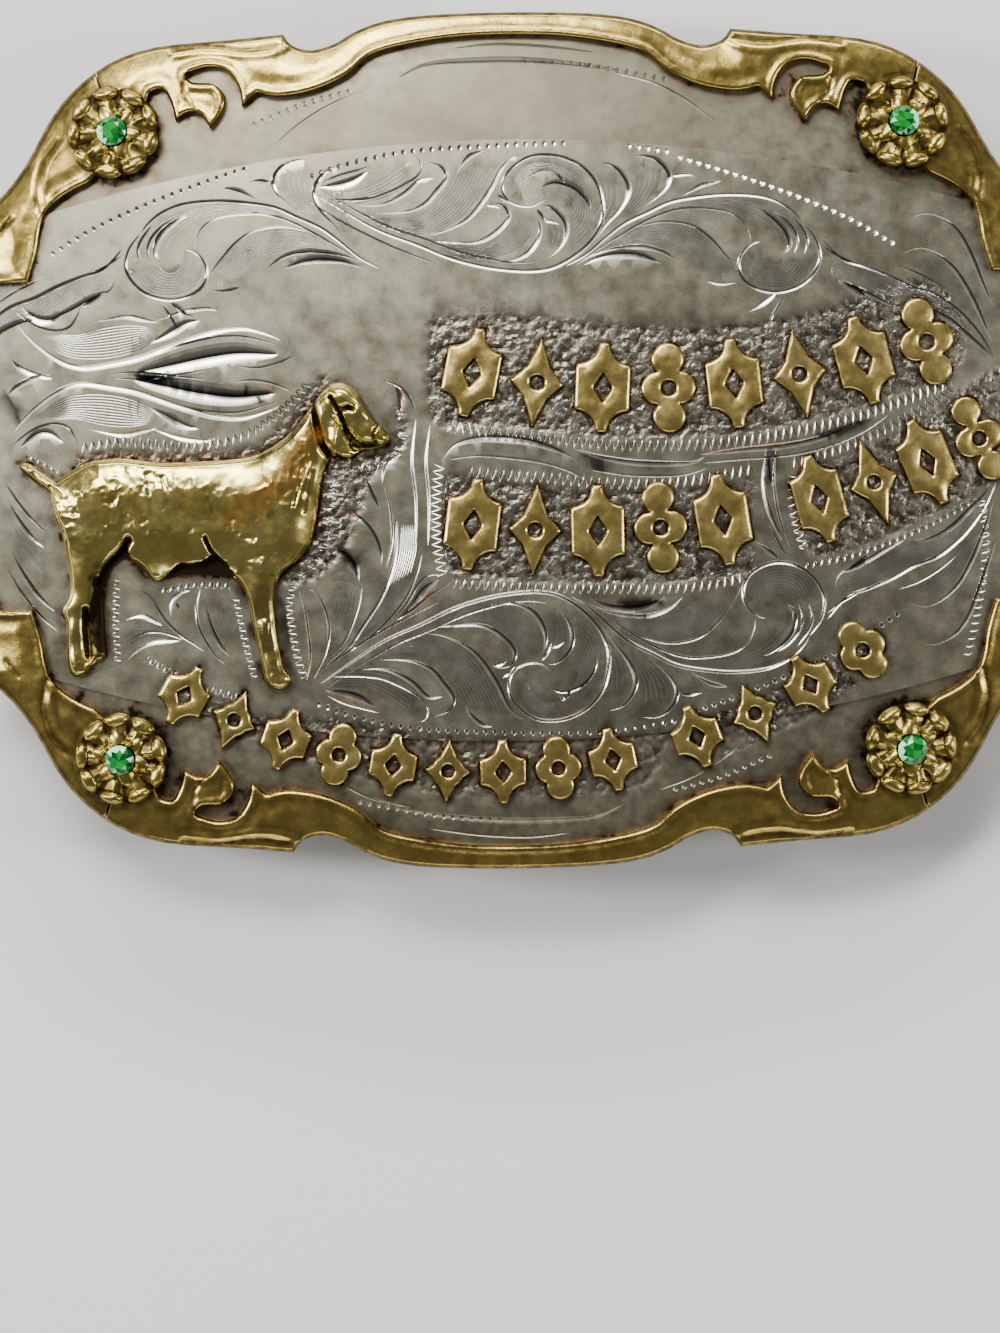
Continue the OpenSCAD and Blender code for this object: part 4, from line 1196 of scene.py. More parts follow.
# Net for a plate: its cuts, the fine grid of its grounds and a plain grid elsewhere
def plateNet(loops, cuts):
    points, edges = cutNet(cuts)
    kept = inside(points, loops)
    edges = edges[kept[edges].all(1)]
    points, edges = points[kept], (np.cumsum(kept) - 1)[edges]
    coarse = gridInside(loops, plateNetShape["plain"], plateNetShape["plainClear"])
    grid = np.concatenate([groundPoints(loops), coarse[groundShare(coarse) == 0]])
    clear = cutDepth(grid, widened(cuts, plateNetShape["cutClear"]))[0] == 0
    return np.concatenate([points, grid[clear]]), edges


# A plate's top is its dome, less the deeper of the cuts and the punched grain at each point
def makePlate(name, slot, loops, cuts, radius, under, marks, below):
    depth, ground = remembered(lambda xy: cutDepth(xy, cuts)), remembered(groundDepth)
    hatches = widened([cut for cut in cuts if cut["fine"]], plateNetShape["shade"])
    # The cut mark carries the painted glint of cut walls and their patina, the shade mark the painted shade
    # of hatching
    marks = {"cut": lambda xy: depth(xy)[1], "ground": groundShare,
             "pit": lambda xy: ground(xy) / groundShape["grain"],
             "shade": lambda xy: cutDepth(xy, hatches)[1] > 0, **marks}
    inner, edges = plateNet(loops, cuts)
    piece = reliefPiece(name + "_silver", loops, inner, edges,
                        lambda xy: domeAt(xy, radius) - np.maximum(depth(xy)[0], ground(xy)),
                        lambda xy: domeAt(xy, under), marks, 16.0,
                        lambda xy: (depth(xy)[0] < 1e-4) & (ground(xy) < 1e-4), below=below)
    dress(piece, slot, name)
    print(name, "has", len(cuts), "cuts and", len(piece.data.polygons), "triangles")


# The bright plate: painted shade and grime gather beside the ornaments, the figure and the trim, and it has
# spots of its own
def makeEngravedPlate():
    marks = {
        "grimeAndShade": lambda xy: np.max([beside(xy, raisedNodes, 0.55), nearness(xy, [figureLoop], 1.05),
                                    beside(xy, trimNodes, 0.85)], axis=0),
        "copper": lambda xy: spots(xy, plateShadeAndStains["copper"]),
        "shadeAndStain": lambda xy: spots(xy, plateShadeAndStains["shadeAndStain"], 0.3),
    }
    makePlate("engraved_plate", "engraved_silver", engravedLoops, engravedCuts(engravedLoops), engravedRadius,
              baseRadius + gap, marks, 1.0)


# Swept cuts in the satin banner under the low rows, drawn on the sheet; the upper banner repeats them
bannerCuts = [
    ("wide", [(39.9, 81), (45, 81.7), (50, 82.1), (54.1, 82.1), (59.6, 81.7), (62.7, 80.3)]),
    ("edge", [(43, 82.9), (48, 83.5), (53, 83.7), (57, 83.3)]),
    ("edge", [(30.8, 75.8), (33.6, 78), (37, 79.8), (41, 80.8)]),
    ("edge", [(66, 79), (69.4, 77.6), (72.6, 75.6), (75, 73.6)]),
]
bannerCombs = [
    (0.7, [(67.6, 78.9), (72, 77.7), (77, 75.6)]),
    (0.7, [(36, 80.2), (44, 81.6), (50, 81.9)]),
]


# The satin plate: banner cuts below and, turned half round, above; painted shade and grime gather beside all
# that stands on it
def makeBasePlate():
    lines = []
    for turn in ((1, 1), (-1, -1)):
        lines += [(kind, strokeLine(onBuckle(p) * turn)) for kind, p in bannerCuts]
        lines += [cut for length, p in bannerCombs for cut in combLines(length, onBuckle(p) * turn)]
    marks = {"grimeAndShade": lambda xy: np.max([beside(xy, raisedNodes, 0.6), beside(xy, trimNodes, 0.95),
                                         0.8 * nearness(xy, engravedLoops, 0.35), besideFlower(xy)], axis=0)}
    makePlate("base_plate", "satin_silver", nodeOutline("base_plate", outlineSpacing["plate"]),
              [cutShape(kind, line) for kind, line in lines],
              baseRadius, baseRadius - buckle["baseThickness"], marks, 0.0)


makeEngravedPlate()
makeBasePlate()


# Trim

trim = {
    "wall": 0.52,  # share of the height where its rounded edges begin
    "roundOver": 0.40,  # radius of its edges
    "lip": 0.55,  # width of the bright lip along its inner edge
    "groove": 0.10,  # depth of the hollow beside the lip
    "grooveEnd": 1.2,  # where the hollow begins to run out, from the inner edge
    "fall": 0.50,  # how far it slopes down to the outer edge
    "fallWidth": 3.0,
    "seamDepth": 0.25,
    "seamWidth": 0.22,
    "ripples": ((0.010, 0.9, 5), (0.025, 2.6, 6)),  # height, size and seed
    "least": 0.34,  # lowest height of its top
    "rows": (0.06, 0.16, 0.30, 0.48),  # rows of points along its edges
    "grid": 0.27,
    "gridClear": 0.55,
}
seamLine = [(35.0, 26.8), (39.5, 31.35), (43.6, 46.0)]

# Painted shade on the trim: how dark, how far off it is darkest, and over what width it fades. The ridges'
# is at their foot, the hollow's is measured from the inner edge, and the flower's from its middle
trimDark = {"ridge": (0.2975, 0.55, 0.28), "hollow": (0.30, 0.85, 0.35), "flower": (0.75, 4.7, 0.5)}
# Darkest painted shade in the cuts, and along the outer edge, whose reflection it dims
trimDarkest = {"cut": 0.85, "outerEdge": 0.8}

# Lines worked into the trim's lower right corner, in the buckle's own millimetres: a positive height is a
# ridge and a negative one a cut; each is repeated in all four corners. Height, width, points
trimLines = [
    (0.13, 0.7, [(33.4, -39), (30, -39.3), (26.2, -38.9), (23.2, -39.2), (21.2, -40.2)]),
    (-0.11, 0.55, [(33.6, -39.7), (30, -40), (26.2, -39.6), (23, -40)]),
    (0.15, 0.42, [(28.9, -33.9), (29.1, -35.3), (29.9, -36.3), (31, -36.8)]),
    (-0.15, 0.36, [(31.4, -33.6), (32.2, -34.6), (32.4, -36), (31.8, -37.2)]),
    (-0.14, 0.36, [(51, -21.4), (50.5, -22.2), (49.8, -23)]),
    (0.12, 0.55, [(46.2, -23.6), (46.6, -26), (45.9, -28.6), (44.4, -30.4)]),
    (-0.12, 0.45, [(47, -23.4), (47.4, -26), (46.7, -28.8), (45.2, -30.8)]),
]

# Stretches where the inner edge's highlight is dimmed by painted shade, as spots on the sheet
trimShadedStretches = [
    ((45.6, 84.2), (3.4, 1.2), 4, 0.85), ((56, 84.4), (4.4, 1.2), -8, 0.85), ((37.6, 82), (1.6, 1.6), 0, 0.6),
    ((66.4, 79.6), (1.4, 1.2), 0, 0.55),
]


# Darkest at one distance and fading on both sides of it: e to minus the square of how many widths it is away
def smudge(distance, darkest, at, width):
    return darkest * np.exp(-((distance - at) / width) ** 2)


# The trim's own lines in all four corners: height, width and sides
def trimWork():
    return [(height, width, stretchesOf(smoothRun(points, 6) * (sx, -sy)))
            for height, width, points in trimLines for sx in (-1, 1) for sy in (-1, 1)]


# Which segments lie on a seam: both their ends, folded into one corner, are on the line between two strips
def isSeam(segments):
    seam = stretchesOf(np.array(seamLine))
    return np.all([distanceTo(np.abs(segments[:, k]), seam) < 0.3 for k in (0, 1)], axis=0)


# Which segments belong to the outer edge: a step outwards leaves the base plate, or they face away from the
# buckle's middle close to the plate's border
def outerShare(segments):
    normal = -leftOf(segments[:, 1] - segments[:, 0])
    middle = segments.mean(1)
    outward = (normal * middle / np.linalg.norm(middle, axis=1)[:, None]).sum(1)
    baseLoops = nodeOutline("base_plate", outlineSpacing["plate"])
    nearBorder = distanceTo(middle, segmentsOf(baseLoops)) < 1.2
    return ~inside(middle + normal * 0.3, baseLoops) | ((outward > 0.2) & nearBorder)


# A strip of trim: its edges are quarter circles, its top slopes down to the outer edge and is hollow beside
# the inner lip, and the worked lines, the seams and faint ripples are added to that
def makeTrim(name):
    loops = outlines[name]
    segments = segmentsOf(loops)
    real = segments[~isSeam(segments)]
    outerSide = outerShare(real)
    outerEdge, innerEdge = real[outerSide], real[~outerSide]
    lines = trimWork()

    def top(xy):
        edge, seam = distanceTo(xy, real), distanceTo(xy, segments)
        fromOuter, fromInner = nearDistance(xy, outerEdge, 8.0), nearDistance(xy, innerEdge, 8.0)
        height = trim["wall"] + (1 - trim["wall"]) * rounded(edge, trim["roundOver"])
        height = height * buckle["trimHeight"]
        hollow = eased((fromInner - trim["lip"]) / 0.4) * (1 - eased((fromInner - trim["grooveEnd"]) / 1.2))
        height -= trim["groove"] * hollow + trim["fall"] * (1 - fromOuter / trim["fallWidth"]).clip(0) ** 1.5
        height += sum(lineHeight * bell(xy, line, width) for lineHeight, width, line in lines)
        height -= trim["seamDepth"] * (1 - rounded(seam, trim["seamWidth"])) * (seam < edge - 1e-6)
        height += sum(high * waves(xy, size, seed) for high, size, seed in trim["ripples"])
        return domeAt(xy, baseRadius + gap) + np.clip(height, trim["least"], buckle["trimHeight"] + 0.02)

    # Painted shade: cuts, the foot of ridges, both edges, the hollow, round the flower's foot and the dimmed
    # stretches of the inner edge; seams are dark joints
    def low(xy):
        edge = nearDistance(xy, innerEdge, 1.5)
        fromFlower = np.hypot(*(np.abs(xy) - buckle["flowerPlace"]).T)
        parts = [trimDarkest["cut"] * bell(xy, line, width, 0.55) if height < 0 else
                 smudge(nearDistance(xy, line, 1.6), *trimDark["ridge"]) for height, width, line in lines]
        parts += [smudge(edge, *trimDark["hollow"]), smudge(fromFlower, *trimDark["flower"]), 1 - edge / 0.16]
        parts.append(trimDarkest["outerEdge"] * eased(1.25 - nearDistance(xy, outerEdge, 1.5) / 0.5))
        parts.append(spots(xy, trimShadedStretches) * eased(1.5 - edge / 0.4))
        parts.append((1 - distanceTo(xy, segments) / 0.18) * (distanceTo(xy, real) > 0.3))
        return np.clip(np.max(parts, axis=0), 0, 1)

    inner = np.concatenate([rimPoints(loops, trim["rows"]),
                            gridInside(loops, trim["grid"], trim["gridClear"])])
    piece = reliefPiece(name + "_gold", loops, inner, noEdges, top, seatAt,
                        {"low": low, "copper": plain(0)}, 40.0)
    dress(piece, "trim_gold", name)


for node in trimNodes:
    makeTrim(node)
print("trim is cast")


# Ornaments of the rows: a rounded edge, a slightly crowned top and the dents of use. The wall and the crown
# are shares of the height, "below" is how far under the solid's top the highest point stays, and each dent
# row has height, size and seed
ornament = {"roundOver": 0.32, "wall": 0.60, "crown": 0.09, "crownWidth": 1.2, "below": 0.07,
            "dents": ((0.020, 0.8, 21), (0.012, 0.35, 22)), "dark": 0.10,
            "rows": (0.05, 0.13, 0.24, 0.36), "grid": 0.3, "gridClear": 0.42}


# An ornament's height: the wall, a quarter circle at its edge, the crown, and dents away from the edge
def makeOrnament(name, shift):
    loops = outlines[name]
    segments = segmentsOf(loops)
    wall, crown = ornament["wall"], ornament["crown"]

    def top(xy):
        edge = distanceTo(xy, segments)
        share = wall + (1 - wall - crown) * rounded(edge, ornament["roundOver"])
        share += crown * eased(edge / ornament["crownWidth"])
        dents = sum(high * waves(xy + shift, size, seed) for high, size, seed in ornament["dents"])
        height = share * (buckle["ornamentHeight"] - ornament["below"]) + dents * eased(edge / 0.3)
        return domeAt(xy, baseRadius + gap) + height

    # Painted shade and patina: dark along the outline, and down the walls underneath
    def low(xy):
        return np.clip(1 - distanceTo(xy, segments) / ornament["dark"], 0, 1)

    inner = np.concatenate([rimPoints(loops, ornament["rows"]),
                            gridInside(loops, ornament["grid"], ornament["gridClear"])])
    piece = reliefPiece(name + "_gold", loops, inner, noEdges, top, seatAt,
                        {"low": low, "copper": plain(0)}, 40.0)
    dress(piece, "ornament_gold", name)


for order, node in enumerate(raisedNodes):
    makeOrnament(node, order * 3.7)  # so that no two have the same dents
print(len(raisedNodes), "ornaments are cast")


# Figure

# Chains of muscle: at each stop its place on the sheet, half its width and its height; widths and heights run
# straight from one stop to the next, and across a chain the height follows a circle's arc
figureChains = [
    [(7, 50.2, 4.4, 1.75), (9.6, 50.4, 5.8, 2), (13, 50.8, 6.9, 2.1), (17, 51, 6.9, 2.14),
     (21, 51, 7.1, 2.18), (25, 51.2, 7, 2.2)],
    [(26.6, 50.4, 5.8, 2.16), (28.6, 47.6, 4.5, 2.02), (30.2, 44.6, 3.5, 1.85), (31.2, 42, 2.8, 1.75)],
    [(31.9, 40.6, 2, 1.75), (33.9, 39.9, 1.9, 1.95), (35.4, 41.2, 2.1, 1.95), (36.8, 43, 1.7, 1.75),
     (38.2, 43.8, 1.1, 1.55)],
    [(26.6, 54.2, 4.8, 2.1), (26.4, 57.4, 3, 1.72), (26.1, 60, 2.5, 1.46), (26.6, 63.4, 2.2, 1.34),
     (27.3, 66.6, 2.1, 1.3), (27.8, 68, 1.9, 1.45)],
    [(8.2, 51.4, 3.8, 1.95), (9.2, 54.4, 3.8, 1.85), (8.6, 57.2, 2.9, 1.55), (7.9, 60.2, 2.1, 1.28),
     (7.3, 63, 1.7, 1.15), (7.5, 66.2, 1.7, 1.2), (7.8, 67, 1.5, 1.25)],
    [(10.9, 57, 1.2, 0.55), (9.75, 60, 0.9, 0.6), (9.55, 63, 0.8, 0.62), (9.7, 65.4, 1, 0.78)],
    [(5.4, 48.7, 0.9, 1.25), (4.2, 48, 0.75, 1.05), (2.9, 47.1, 0.65, 0.95), (1.9, 46.5, 0.5, 0.8)],
    [(15.2, 55.6, 2.6, 1.65), (15.4, 57.4, 1.2, 1.1)],
]
# Parts that stand on those: the hanging ear, the brow, the nose, the shoulder, the thigh and the knee
figureDetails = [
    [(32.2, 39.9, 0.9, 0.34), (32.85, 41.8, 1.2, 0.56), (33.5, 43.7, 1.25, 0.58), (34.4, 45, 0.95, 0.46),
     (35.3, 45.6, 0.45, 0.24)],
    [(33.4, 39, 0.9, 0.14), (35, 39.5, 0.8, 0.16), (36.4, 41.4, 0.6, 0.12)],
    [(38.1, 43.4, 0.85, 0.3), (38, 43.9, 0.7, 0.26)],
    [(29.6, 50.6, 1.6, 0.1), (28.4, 53.6, 2.2, 0.16), (26.8, 55.4, 1.8, 0.12)],
    [(8.6, 49.8, 2.4, 0.12), (8.6, 53, 2.3, 0.16)],
    [(26.4, 62.4, 0.5, 0.14), (26.5, 63.4, 0.4, 0.12)],
]
# Creases: depth, width and points; they are painted black for their shade and patina
figureCreases = [
    (0.95, 0.6, [(31.35, 39.9), (31.5, 41.6), (31.9, 43.4), (32.4, 44.8), (33.2, 45.8)]),
    (0.7, 0.4, [(33, 39.7), (33.8, 41), (34.4, 42.4), (34.9, 43.6), (35.6, 44.7)]),
    (0.6, 0.55, [(34.2, 40.85), (34.7, 40.7), (35.2, 40.8)]),
    (0.4, 0.28, [(37.8, 42.6), (37.3, 43.3), (37.5, 44.3)]),
    (0.16, 0.5, [(36.1, 39.9), (37, 41.2), (37.9, 42.3)]),
    (0.6, 0.75, [(35.3, 44.5), (36.2, 44.65), (37.2, 44.6)]),
    (0.6, 0.42, [(20.5, 53.8), (21.1, 55), (21.9, 56)]),
    (0.7, 0.8, [(12.8, 54), (12.2, 55), (11.2, 56), (10.3, 57.4)]),
    (0.9, 0.62, [(8.5, 61), (8.55, 63), (8.75, 65.6)]),
    (0.35, 0.34, [(29, 66.6), (28.5, 64), (28.05, 61.4), (27.9, 59)]),
    (0.3, 0.34, [(6, 49.6), (5.4, 49), (5, 48.6)]),
    (0.18, 0.4, [(30.9, 46), (30, 48.4), (29.4, 50.6)]),
    (0.12, 0.3, [(31.2, 47.2), (30.8, 49), (30.4, 51.2)]),
    (0.1, 0.5, [(14.6, 47.6), (14.9, 49.4), (15, 51.4)]),
    (0.08, 0.5, [(16.2, 47.8), (16.6, 49.4), (16.4, 51)]),
    (0.08, 0.45, [(20.4, 49), (21, 50.2), (21.2, 51.2)]),
]
creaseRuns = [(depth, width, stretchesOf(smoothRun(onBuckle(line), 5)))
              for depth, width, line in figureCreases]

# Low ledges of the casting, painted black for their shadow and patina: their outlines
figureLedges = [
    [(24, 58.6), (23.2, 57.2), (22.3, 56), (21.2, 55.6), (20.4, 56.1), (19.5, 56.3), (18, 56.4), (17.2, 57),
     (16.2, 57.9), (17.6, 58.2), (20.6, 58.2), (22.8, 58.2)],
    [(13.5, 56.7), (12.7, 55.2), (12.6, 54.2), (11.7, 55.3), (10.6, 56.3), (10, 57.4), (9.7, 58.6),
     (10.6, 59), (11, 57.7), (11.8, 56.7), (12.6, 56.4)],
    [(10.2, 59.6), (10.2, 62), (10.3, 64.6), (10.9, 65), (10.8, 62), (10.8, 59.8)],
]
# Rough places left by the casting: middle, half sizes, turn and how strong
figureRoughness = [
    ((20, 52.5), (6.6, 0.75), -1, 0.1), ((13, 51.6), (5.6, 1.5), -4, 0.09),
    ((9.4, 51.2), (3.2, 2.4), 0, 0.07), ((25.9, 53.4), (1.9, 1.5), 12, 0.13),
    ((26.6, 56), (1.3, 1.5), 12, 0.09), ((26.8, 50.8), (3.6, 2), 38, 0.05), ((15, 49.2), (1, 2), 0, 0.07),
    ((19.6, 49.4), (4, 1), 0, 0.04), ((30, 47.4), (1, 3.4), -20, 0.06), ((27.8, 68.2), (1, 0.7), 0, 0.06),
    ((7.8, 67), (1, 0.6), 0, 0.05), ((13.8, 49.4), (6, 2.2), 0, 0.03),
]
# Painted shade, dull and brown: the far hind leg in the shade of the others, the legs' edges, the throat and
# the back; some rows are painted dark reflections in streaks along the neck and the back
figureShade = [
    ((10, 61.6), (1, 3.9), 2, 0.99), ((28, 62.6), (0.4, 3.8), 8, 0.8), ((26.8, 62.4), (1.3, 4.2), 8, 0.34),
    ((7.4, 62.6), (0.6, 3.2), 0, 0.22), ((29.4, 45.6), (1.9, 1.3), 58, 0.34),
    ((24, 47.6), (4.6, 0.9), 4, 0.14), ((29.7, 42.9), (1.3, 0.2), 48, 0.8),
    ((26.6, 45.4), (0.8, 0.15), 28, 0.8), ((21.2, 46.8), (2.2, 0.1), 2, 0.7),
    ((27, 51.4), (0.5, 0.3), 60, 0.5), ((30.6, 47), (0.25, 0.9), -18, 0.6),
]
figureCopper = [
    ((26.4, 49.6), (3.9, 1.15), 36, 1), ((29.9, 45.9), (3.4, 0.95), 56, 1),
    ((24.6, 50.9), (1.9, 1.3), 20, 0.9),
]
figureShape = {
    "soft": 6.0,  # power by which the links of the chains join: the higher, the harder
    "leastBody": 0.55,
    "wall": 0.30,  # share of the height where its rounded edge begins
    "edge": 0.62,  # width of the rounded edge
    "ledge": 0.34,  # height of the low ledges
    "ledgeSlope": 0.16,
    "rough": 0.654,  # height of the rough places' waves, times how strong each place is
    "least": 0.22,
    "rows": (0.05, 0.13, 0.24),
    "grid": 0.135,
    "gridClear": 0.3,
}


# Height over a chain: beside each link the height of an arc over its half width. The heights are raised to
# the power "soft" before they are added, so that their root is a soft kind of the greatest
def chainHeight(points, chain):
    total = np.zeros(len(points))
    for (x0, y0, w0, h0), (x1, y1, w1, h1) in zip(chain[:-1], chain[1:]):
        a, b = onBuckle([(x0, y0), (x1, y1)])
        along = b - a
        rel = points - a
        t = np.clip(rel @ along / max(along @ along, 1e-9), 0, 1)
        across = np.linalg.norm(rel - t[:, None] * along, axis=1) / (w0 + (w1 - w0) * t)
        height = (h0 + (h1 - h0) * t) * np.sqrt(np.clip(1 - across ** 2, 0, 1))
        total += height ** figureShape["soft"]
    return total


# 1 on the low ledges and 0 off them, over a short slope
def ledgeShare(points):
    found = np.zeros(len(points))
    for outline in figureLedges:
        loop = smoothRun(onBuckle(outline + outline[:1]), 3)[:-1]
        found = np.maximum(found, eased(depthInside(points, loop, 1.0) / figureShape["ledgeSlope"] + 0.5))
    return found


# Height of the figure: the chains, let down at the edge in a quarter circle, then the details, less the
# creases, with broken waves in the rough places, and all of it brought to one height on the ledges
def figureHeight(points):
    root = 1 / figureShape["soft"]
    body = sum(chainHeight(points, chain) for chain in figureChains) ** root
    edge = distanceTo(points, segmentsOf([figureLoop]))
    fall = figureShape["wall"] + (1 - figureShape["wall"]) * rounded(edge, figureShape["edge"])
    height = np.maximum(body, figureShape["leastBody"]) * fall
    height += sum(chainHeight(points, chain) ** root for chain in figureDetails)
    height -= sum(depth * bell(points, run, width) for depth, width, run in creaseRuns)
    grain = 1.4 - 3.0 * np.abs(waves(points, 0.95, 31)) + 0.7 * waves(points, 0.36, 32)
    height += figureShape["rough"] * spots(points, figureRoughness) * grain + 0.012 * waves(points, 0.7, 33)
    ledge = ledgeShare(points)
    height = height * (1 - ledge) + figureShape["ledge"] * ledge
    return np.clip(height, figureShape["least"], buckle["figureHeight"])


# The figure: painted black in its creases, along its edge and on the ledges, for their shade and patina, and
# darker under the painted shade and dark reflections of figureShade; copper tarnish in patches
def makeFigure():
    def low(xy):
        parts = [min(1, 2.4 * depth) * bell(xy, run, width, 0.48, 4) for depth, width, run in creaseRuns]
        parts.append(0.9 * (1 - distanceTo(xy, segmentsOf([figureLoop])) / 0.14))
        return np.clip(np.max([*parts, ledgeShare(xy), spots(xy, figureShade)], axis=0), 0, 1)

    inner = np.concatenate([rimPoints([figureLoop], figureShape["rows"]),
                            gridInside([figureLoop], figureShape["grid"], figureShape["gridClear"])])
    piece = reliefPiece("goat_figure_gold", [figureLoop], inner, noEdges,
                        lambda xy: domeAt(xy, engravedRadius + gap) + figureHeight(xy),
                        lambda xy: domeAt(xy, engravedRadius + gap),
                        {"low": low, "copper": lambda xy: spots(xy, figureCopper)}, 50.0)
    dress(piece, "figure_gold", "goat_figure")
    print("figure:", len(piece.data.polygons), "triangles")


makeFigure()


# Flowers and stones

flower = {
    "rings": 46, "spokes": 216,
    "seat": 1.56,  # radius of the hole for the stone
    "floor": 0.05,  # height of the hole's floor
    "rim": 0.27,  # height at its very edge
    "edge": 0.38,  # width of its rounded edge
    "leaf": 0.44, "swell": 0.12, "furrow": 0.34,  # a petal's height and swell, and the furrows between
    "ridge": 0.13, "ridgeWidth": 0.24,
    "ridgeStart": (2.1, 0.5), "ridgeEnd": (3.3, 0.4),  # where it begins and ends, and over what length
    "roll": 3.98,  # how far from the middle the tips of the petals roll up
    "rollHeight": 0.66, "rollLength": 0.66, "rollWidth": 1.32,
    "lift": (0.72, 1.15), "swing": (-0.07, 0.07), "draw": (-0.16, 0.10),  # how much the petals differ
    "dents": 0.10,
    "innerPetals": 6, "innerRadius": 3.0, "innerFoot": 0.30, "innerHeight": 0.66,
    "prongs": 4, "prong": 0.42, "prongRing": 1.85, "prongFoot": 0.9, "prongHeight": 0.85,
    # Painted shade and patina of the low places: black below the first height, none above the second
    "dark": (0.28, 0.74),  # below the first height it is black, and above the second it is clean
}


# Moves points from a flat place over the middle to the dome: the plane is tilted to touch it there
def seated(local, place, radius):
    out = np.array([place[0], place[1], math.sqrt(radius ** 2 - place[0] ** 2 - place[1] ** 2)]) / radius
    side = np.cross([0, 1, 0], out)
    side /= np.linalg.norm(side)
    up = np.cross(out, side)
    return local @ np.array([side, up, out]) + out * radius + (0, 0, domeMiddle)


# Points at those angles, distances from the middle and heights
def around(angle, r, z):
    return np.stack(np.broadcast_arrays(r * np.cos(angle), r * np.sin(angle), z), -1).reshape(-1, 3)


# Outline of the flower: a circle drawn in a little between the petals
def petalReach(angle, turn):
    petal = np.abs(np.cos((angle - turn) * buckle["petals"] / 2))
    return buckle["flowerRadius"] * (0.90 + 0.10 * petal ** 0.55)


# Each outer petal is a leaf with a ridge that rolls up at its tip in half an egg, no two quite alike, with
# furrows between them and dents all over
def petalHeight(r, angle, turn):
    n, x, y = buckle["petals"], r * np.cos(angle), r * np.sin(angle)
    rng = np.random.default_rng(int(turn * 100))
    lift, swing, draw = (rng.uniform(*flower[key], n) for key in ("lift", "swing", "draw"))
    number = np.round((angle - turn) * n / (2 * math.pi)).astype(int) % n
    at = number * 2 * math.pi / n + turn + swing[number]
    along, across = x * np.cos(at) + y * np.sin(at) - draw[number], y * np.cos(at) - x * np.sin(at)
    petal = np.abs(np.cos((angle - turn) * n / 2))
    roll = ((along - flower["roll"]) / flower["rollLength"]) ** 2 + (across / flower["rollWidth"]) ** 2
    roll = np.sqrt(np.clip(1 - roll, 0, 1))
    ridge = np.exp(-(across / flower["ridgeWidth"]) ** 2)
    start, startLength = flower["ridgeStart"]
    end, endLength = flower["ridgeEnd"]
    ridge *= eased((along - start) / startLength) * (1 - eased((along - end) / endLength))
    height = flower["leaf"] + flower["swell"] * petal + flower["ridge"] * ridge
    height += flower["rollHeight"] * lift[number] * roll
    height -= flower["furrow"] * (1 - petal) ** 3 * eased((r - 2.2) / 0.8)
    dents = waves(np.stack([x, y], -1).reshape(-1, 2) + 9 * turn, 0.8, 51).reshape(r.shape)
    return height + flower["dents"] * dents * eased((r - 1.9) / 0.5)


# The inner whorl: steep-sided petals, highest and farthest out at their middles
def whorlHeight(r, angle, turn):
    small = np.abs(np.cos((angle - turn - 0.5) * flower["innerPetals"] / 2))
    reach = flower["innerRadius"] * (0.66 + 0.34 * small ** 1.6)
    whorl = np.clip(1 - (r / reach) ** 4, 0, 1) ** 0.5
    return flower["innerFoot"] + flower["innerHeight"] * whorl * (0.66 + 0.34 * small)


# Half balls on a ring round the stone, and nothing beside them
def prongHeight(r, angle, turn):
    step = 2 * math.pi / flower["prongs"]
    at = (np.floor((angle - turn) / step) + 0.5) * step + turn
    near = np.hypot(r * np.cos(angle) - flower["prongRing"] * np.cos(at),
                    r * np.sin(angle) - flower["prongRing"] * np.sin(at))
    ball = np.sqrt(np.clip(1 - (near / flower["prong"]) ** 2, 0, 1))
    return np.where(near < flower["prong"], flower["prongFoot"] + flower["prongHeight"] * ball, 0)


# Two triangles for each pair of neighbours between two rings of points
def band(first, second):
    nextFirst, nextSecond = np.roll(first, -1), np.roll(second, -1)
    return np.concatenate([np.stack([first, second, nextSecond], 1),
                           np.stack([first, nextSecond, nextFirst], 1)])


# A triangle from each pair of neighbours in a ring to one point
def fan(ring, point):
    return np.stack([ring, np.roll(ring, -1), np.full(len(ring), point)], 1)


# A flower: the greatest of its three heights, let down at the edge in a quarter circle, on rings from the
# stone's hole to the outline. A wall goes down at the edge and another into the hole, which has a floor
def makeFlower(corner, place, turn):
    rings, spokes = flower["rings"], flower["spokes"]
    angle = np.linspace(0, 2 * math.pi, spokes, endpoint=False)
    a, u = np.meshgrid(angle, np.linspace(0, 1, rings) ** 0.85)
    reach = petalReach(a, turn)
    r = flower["seat"] + (reach - flower["seat"]) * u
    height = np.max([petalHeight(r, a, turn), whorlHeight(r, a, turn), prongHeight(r, a, turn)], axis=0)
    height = flower["rim"] + (height - flower["rim"]) * rounded(reach - r, flower["edge"])
    vertices = np.concatenate([around(a, r, height), around(angle, r[-1], 0.0),
                               around(angle, r[0], flower["floor"]), [(0, 0, 0), (0, 0, flower["floor"])]])
    ring = np.arange((rings + 2) * spokes).reshape(-1, spokes)
    outside, floor, under = ring[rings], ring[rings + 1], ring.size
    tris = np.concatenate([band(ring[k], ring[k + 1]) for k in range(rings - 1)] +
                          [band(ring[rings - 1], outside), band(floor, ring[0]),
                           fan(outside[::-1], under), fan(floor, under + 1)])
    # Painted shade and patina: black where the flower lies low, fading out by the upper height, and on the
    # walls
    black, clean = flower["dark"]
    low = np.ones(len(vertices))
    low[:rings * spokes] = np.clip(1 - (height.ravel() - black) / (clean - black), 0, 1)
    radius = baseRadius + buckle["trimHeight"] + gap
    piece = writeMesh("flower_" + corner + "_gold", seated(vertices, place, radius), tris,
                      {"low": low, "copper": np.zeros(len(vertices))}, 44.0)
    dress(piece, "flower_gold", "flower_" + corner)
    makeStone(corner, place, radius, turn)


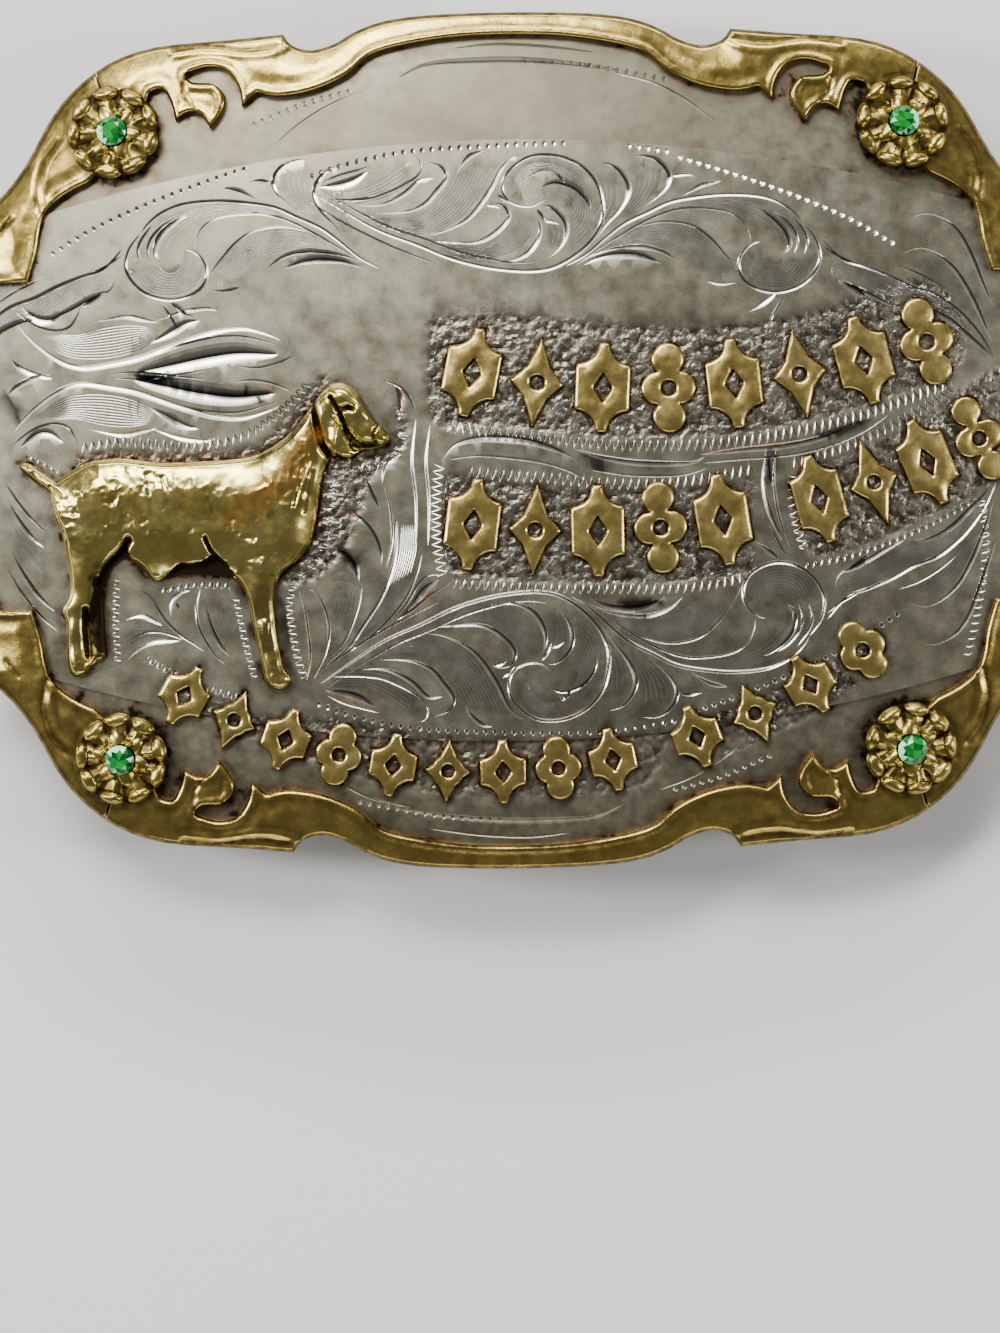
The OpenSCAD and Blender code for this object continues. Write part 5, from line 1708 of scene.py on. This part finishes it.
# A stone's measures are shares of its radius; the girdle's height over the trim is in millimetres
stone = {"sides": 8, "girdle": 1.45, "girdleHalf": 0.03, "table": 0.56, "crown": 0.40, "star": 0.78,
         "starHeight": 0.245, "pavilion": 0.86, "pavilionRing": 0.42, "pavilionHeight": 0.52}


# A round cut stone: table, star, kite and girdle facets above, and a pointed pavilion below. Each facet has
# its own points, to stay flat, and its own painted share of light; two kites side by side are painted as a
# flash
def makeStone(corner, place, radius, turn):
    n, scale = stone["sides"], buckle["stoneWidth"] / 2
    step = 2 * math.pi / n
    even = np.arange(n) * step + turn
    odd, fine = even + step / 2, np.arange(2 * n) * step / 2 + turn
    levels = ((even, stone["table"], stone["crown"]), (odd, stone["star"], stone["starHeight"]),
              (fine, 1.0, stone["girdleHalf"]), (fine, 1.0, -stone["girdleHalf"]),
              (odd, stone["pavilionRing"], -stone["pavilionHeight"]))
    vertices = np.concatenate([around(*level) for level in levels] +
                              [[(0, 0, stone["crown"]), (0, 0, -stone["pavilion"])]]) * scale
    e = np.arange(n)
    table, star, middle, culet = e, n + e, 7 * n, 7 * n + 1
    left, right = 2 * n + 2 * e, 2 * n + (2 * e + 2) % (2 * n)
    between = left + 1
    leftLow, betweenLow, rightLow = left + 2 * n, between + 2 * n, right + 2 * n
    pavilion = 6 * n + e
    tableNext, pavilionNext = np.roll(table, -1), np.roll(pavilion, -1)
    facets = [(middle, table, tableNext), (table, star, tableNext),
              (table, left, star), (star, right, tableNext), (star, left, between), (star, between, right),
              (left, leftLow, between), (between, leftLow, betweenLow),
              (between, betweenLow, right), (right, betweenLow, rightLow),
              (leftLow, pavilion, betweenLow), (betweenLow, pavilion, rightLow),
              (rightLow, pavilion, pavilionNext), (pavilion, culet, pavilionNext)]
    tris = np.concatenate([np.stack(np.broadcast_arrays(*facet), 1) for facet in facets])
    each = (vertices + (0, 0, stone["girdle"]))[tris.ravel()]
    rng = np.random.default_rng(int(abs(place[0] * 7 + place[1] * 3 + turn * 10)) + (place[1] > 0))
    glint = rng.beta(1.0, 1.7, len(tris))
    glint[:n] = rng.uniform(0.05, 0.80, n)
    first = int(rng.integers(n))
    for lit in (first, (first + 1) % n):
        glint[[lit + k * n for k in range(2, 6)]] = 1.0
    piece = writeMesh("stone_" + corner + "_green", seated(each, place, radius),
                      np.arange(len(each)).reshape(-1, 3), {"glint": np.repeat(glint, 3)}, 1.0)
    dress(piece, "green_stone", "stone_" + corner)


# Each corner: which way it lies from the middle, and how far its flower is turned
corners = {"bottom_left": (-1, -1, 0.25), "bottom_right": (1, -1, 0.05), "top_left": (-1, 1, 0.4),
           "top_right": (1, 1, 0.15)}
for corner, (sx, sy, turn) in corners.items():
    makeFlower(corner, (sx * buckle["flowerPlace"][0], sy * buckle["flowerPlace"][1]), turn)
print("flowers and stones are set")


# Back: the loop and the hook keep the model's own shape
for node in ("belt_loop", "hook_post"):
    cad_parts[node].data.materials.clear()
    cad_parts[node].data.materials.append(finishes["back_hardware"])


# Floor

floorLook = {"size": 3.0, "colour": (0.80, 0.79, 0.77)}  # metres


# A square of plain pale paper under the buckle
def makeFloor():
    half = floorLook["size"] / 2
    mesh = bpy.data.meshes.new("floor")
    square = [(-half, -half, 0), (half, -half, 0), (half, half, 0), (-half, half, 0)]
    mesh.from_pydata(square, [], [(0, 1, 2, 3)])
    floor = placed("floor", mesh)
    f = Finish("floor")
    paper = f.bump(f.noise(1.5, 4.0), 0.05, 0.1)
    mesh.materials.append(f.done(floorLook["colour"], 0.85, paper, 0.0))


makeFloor()
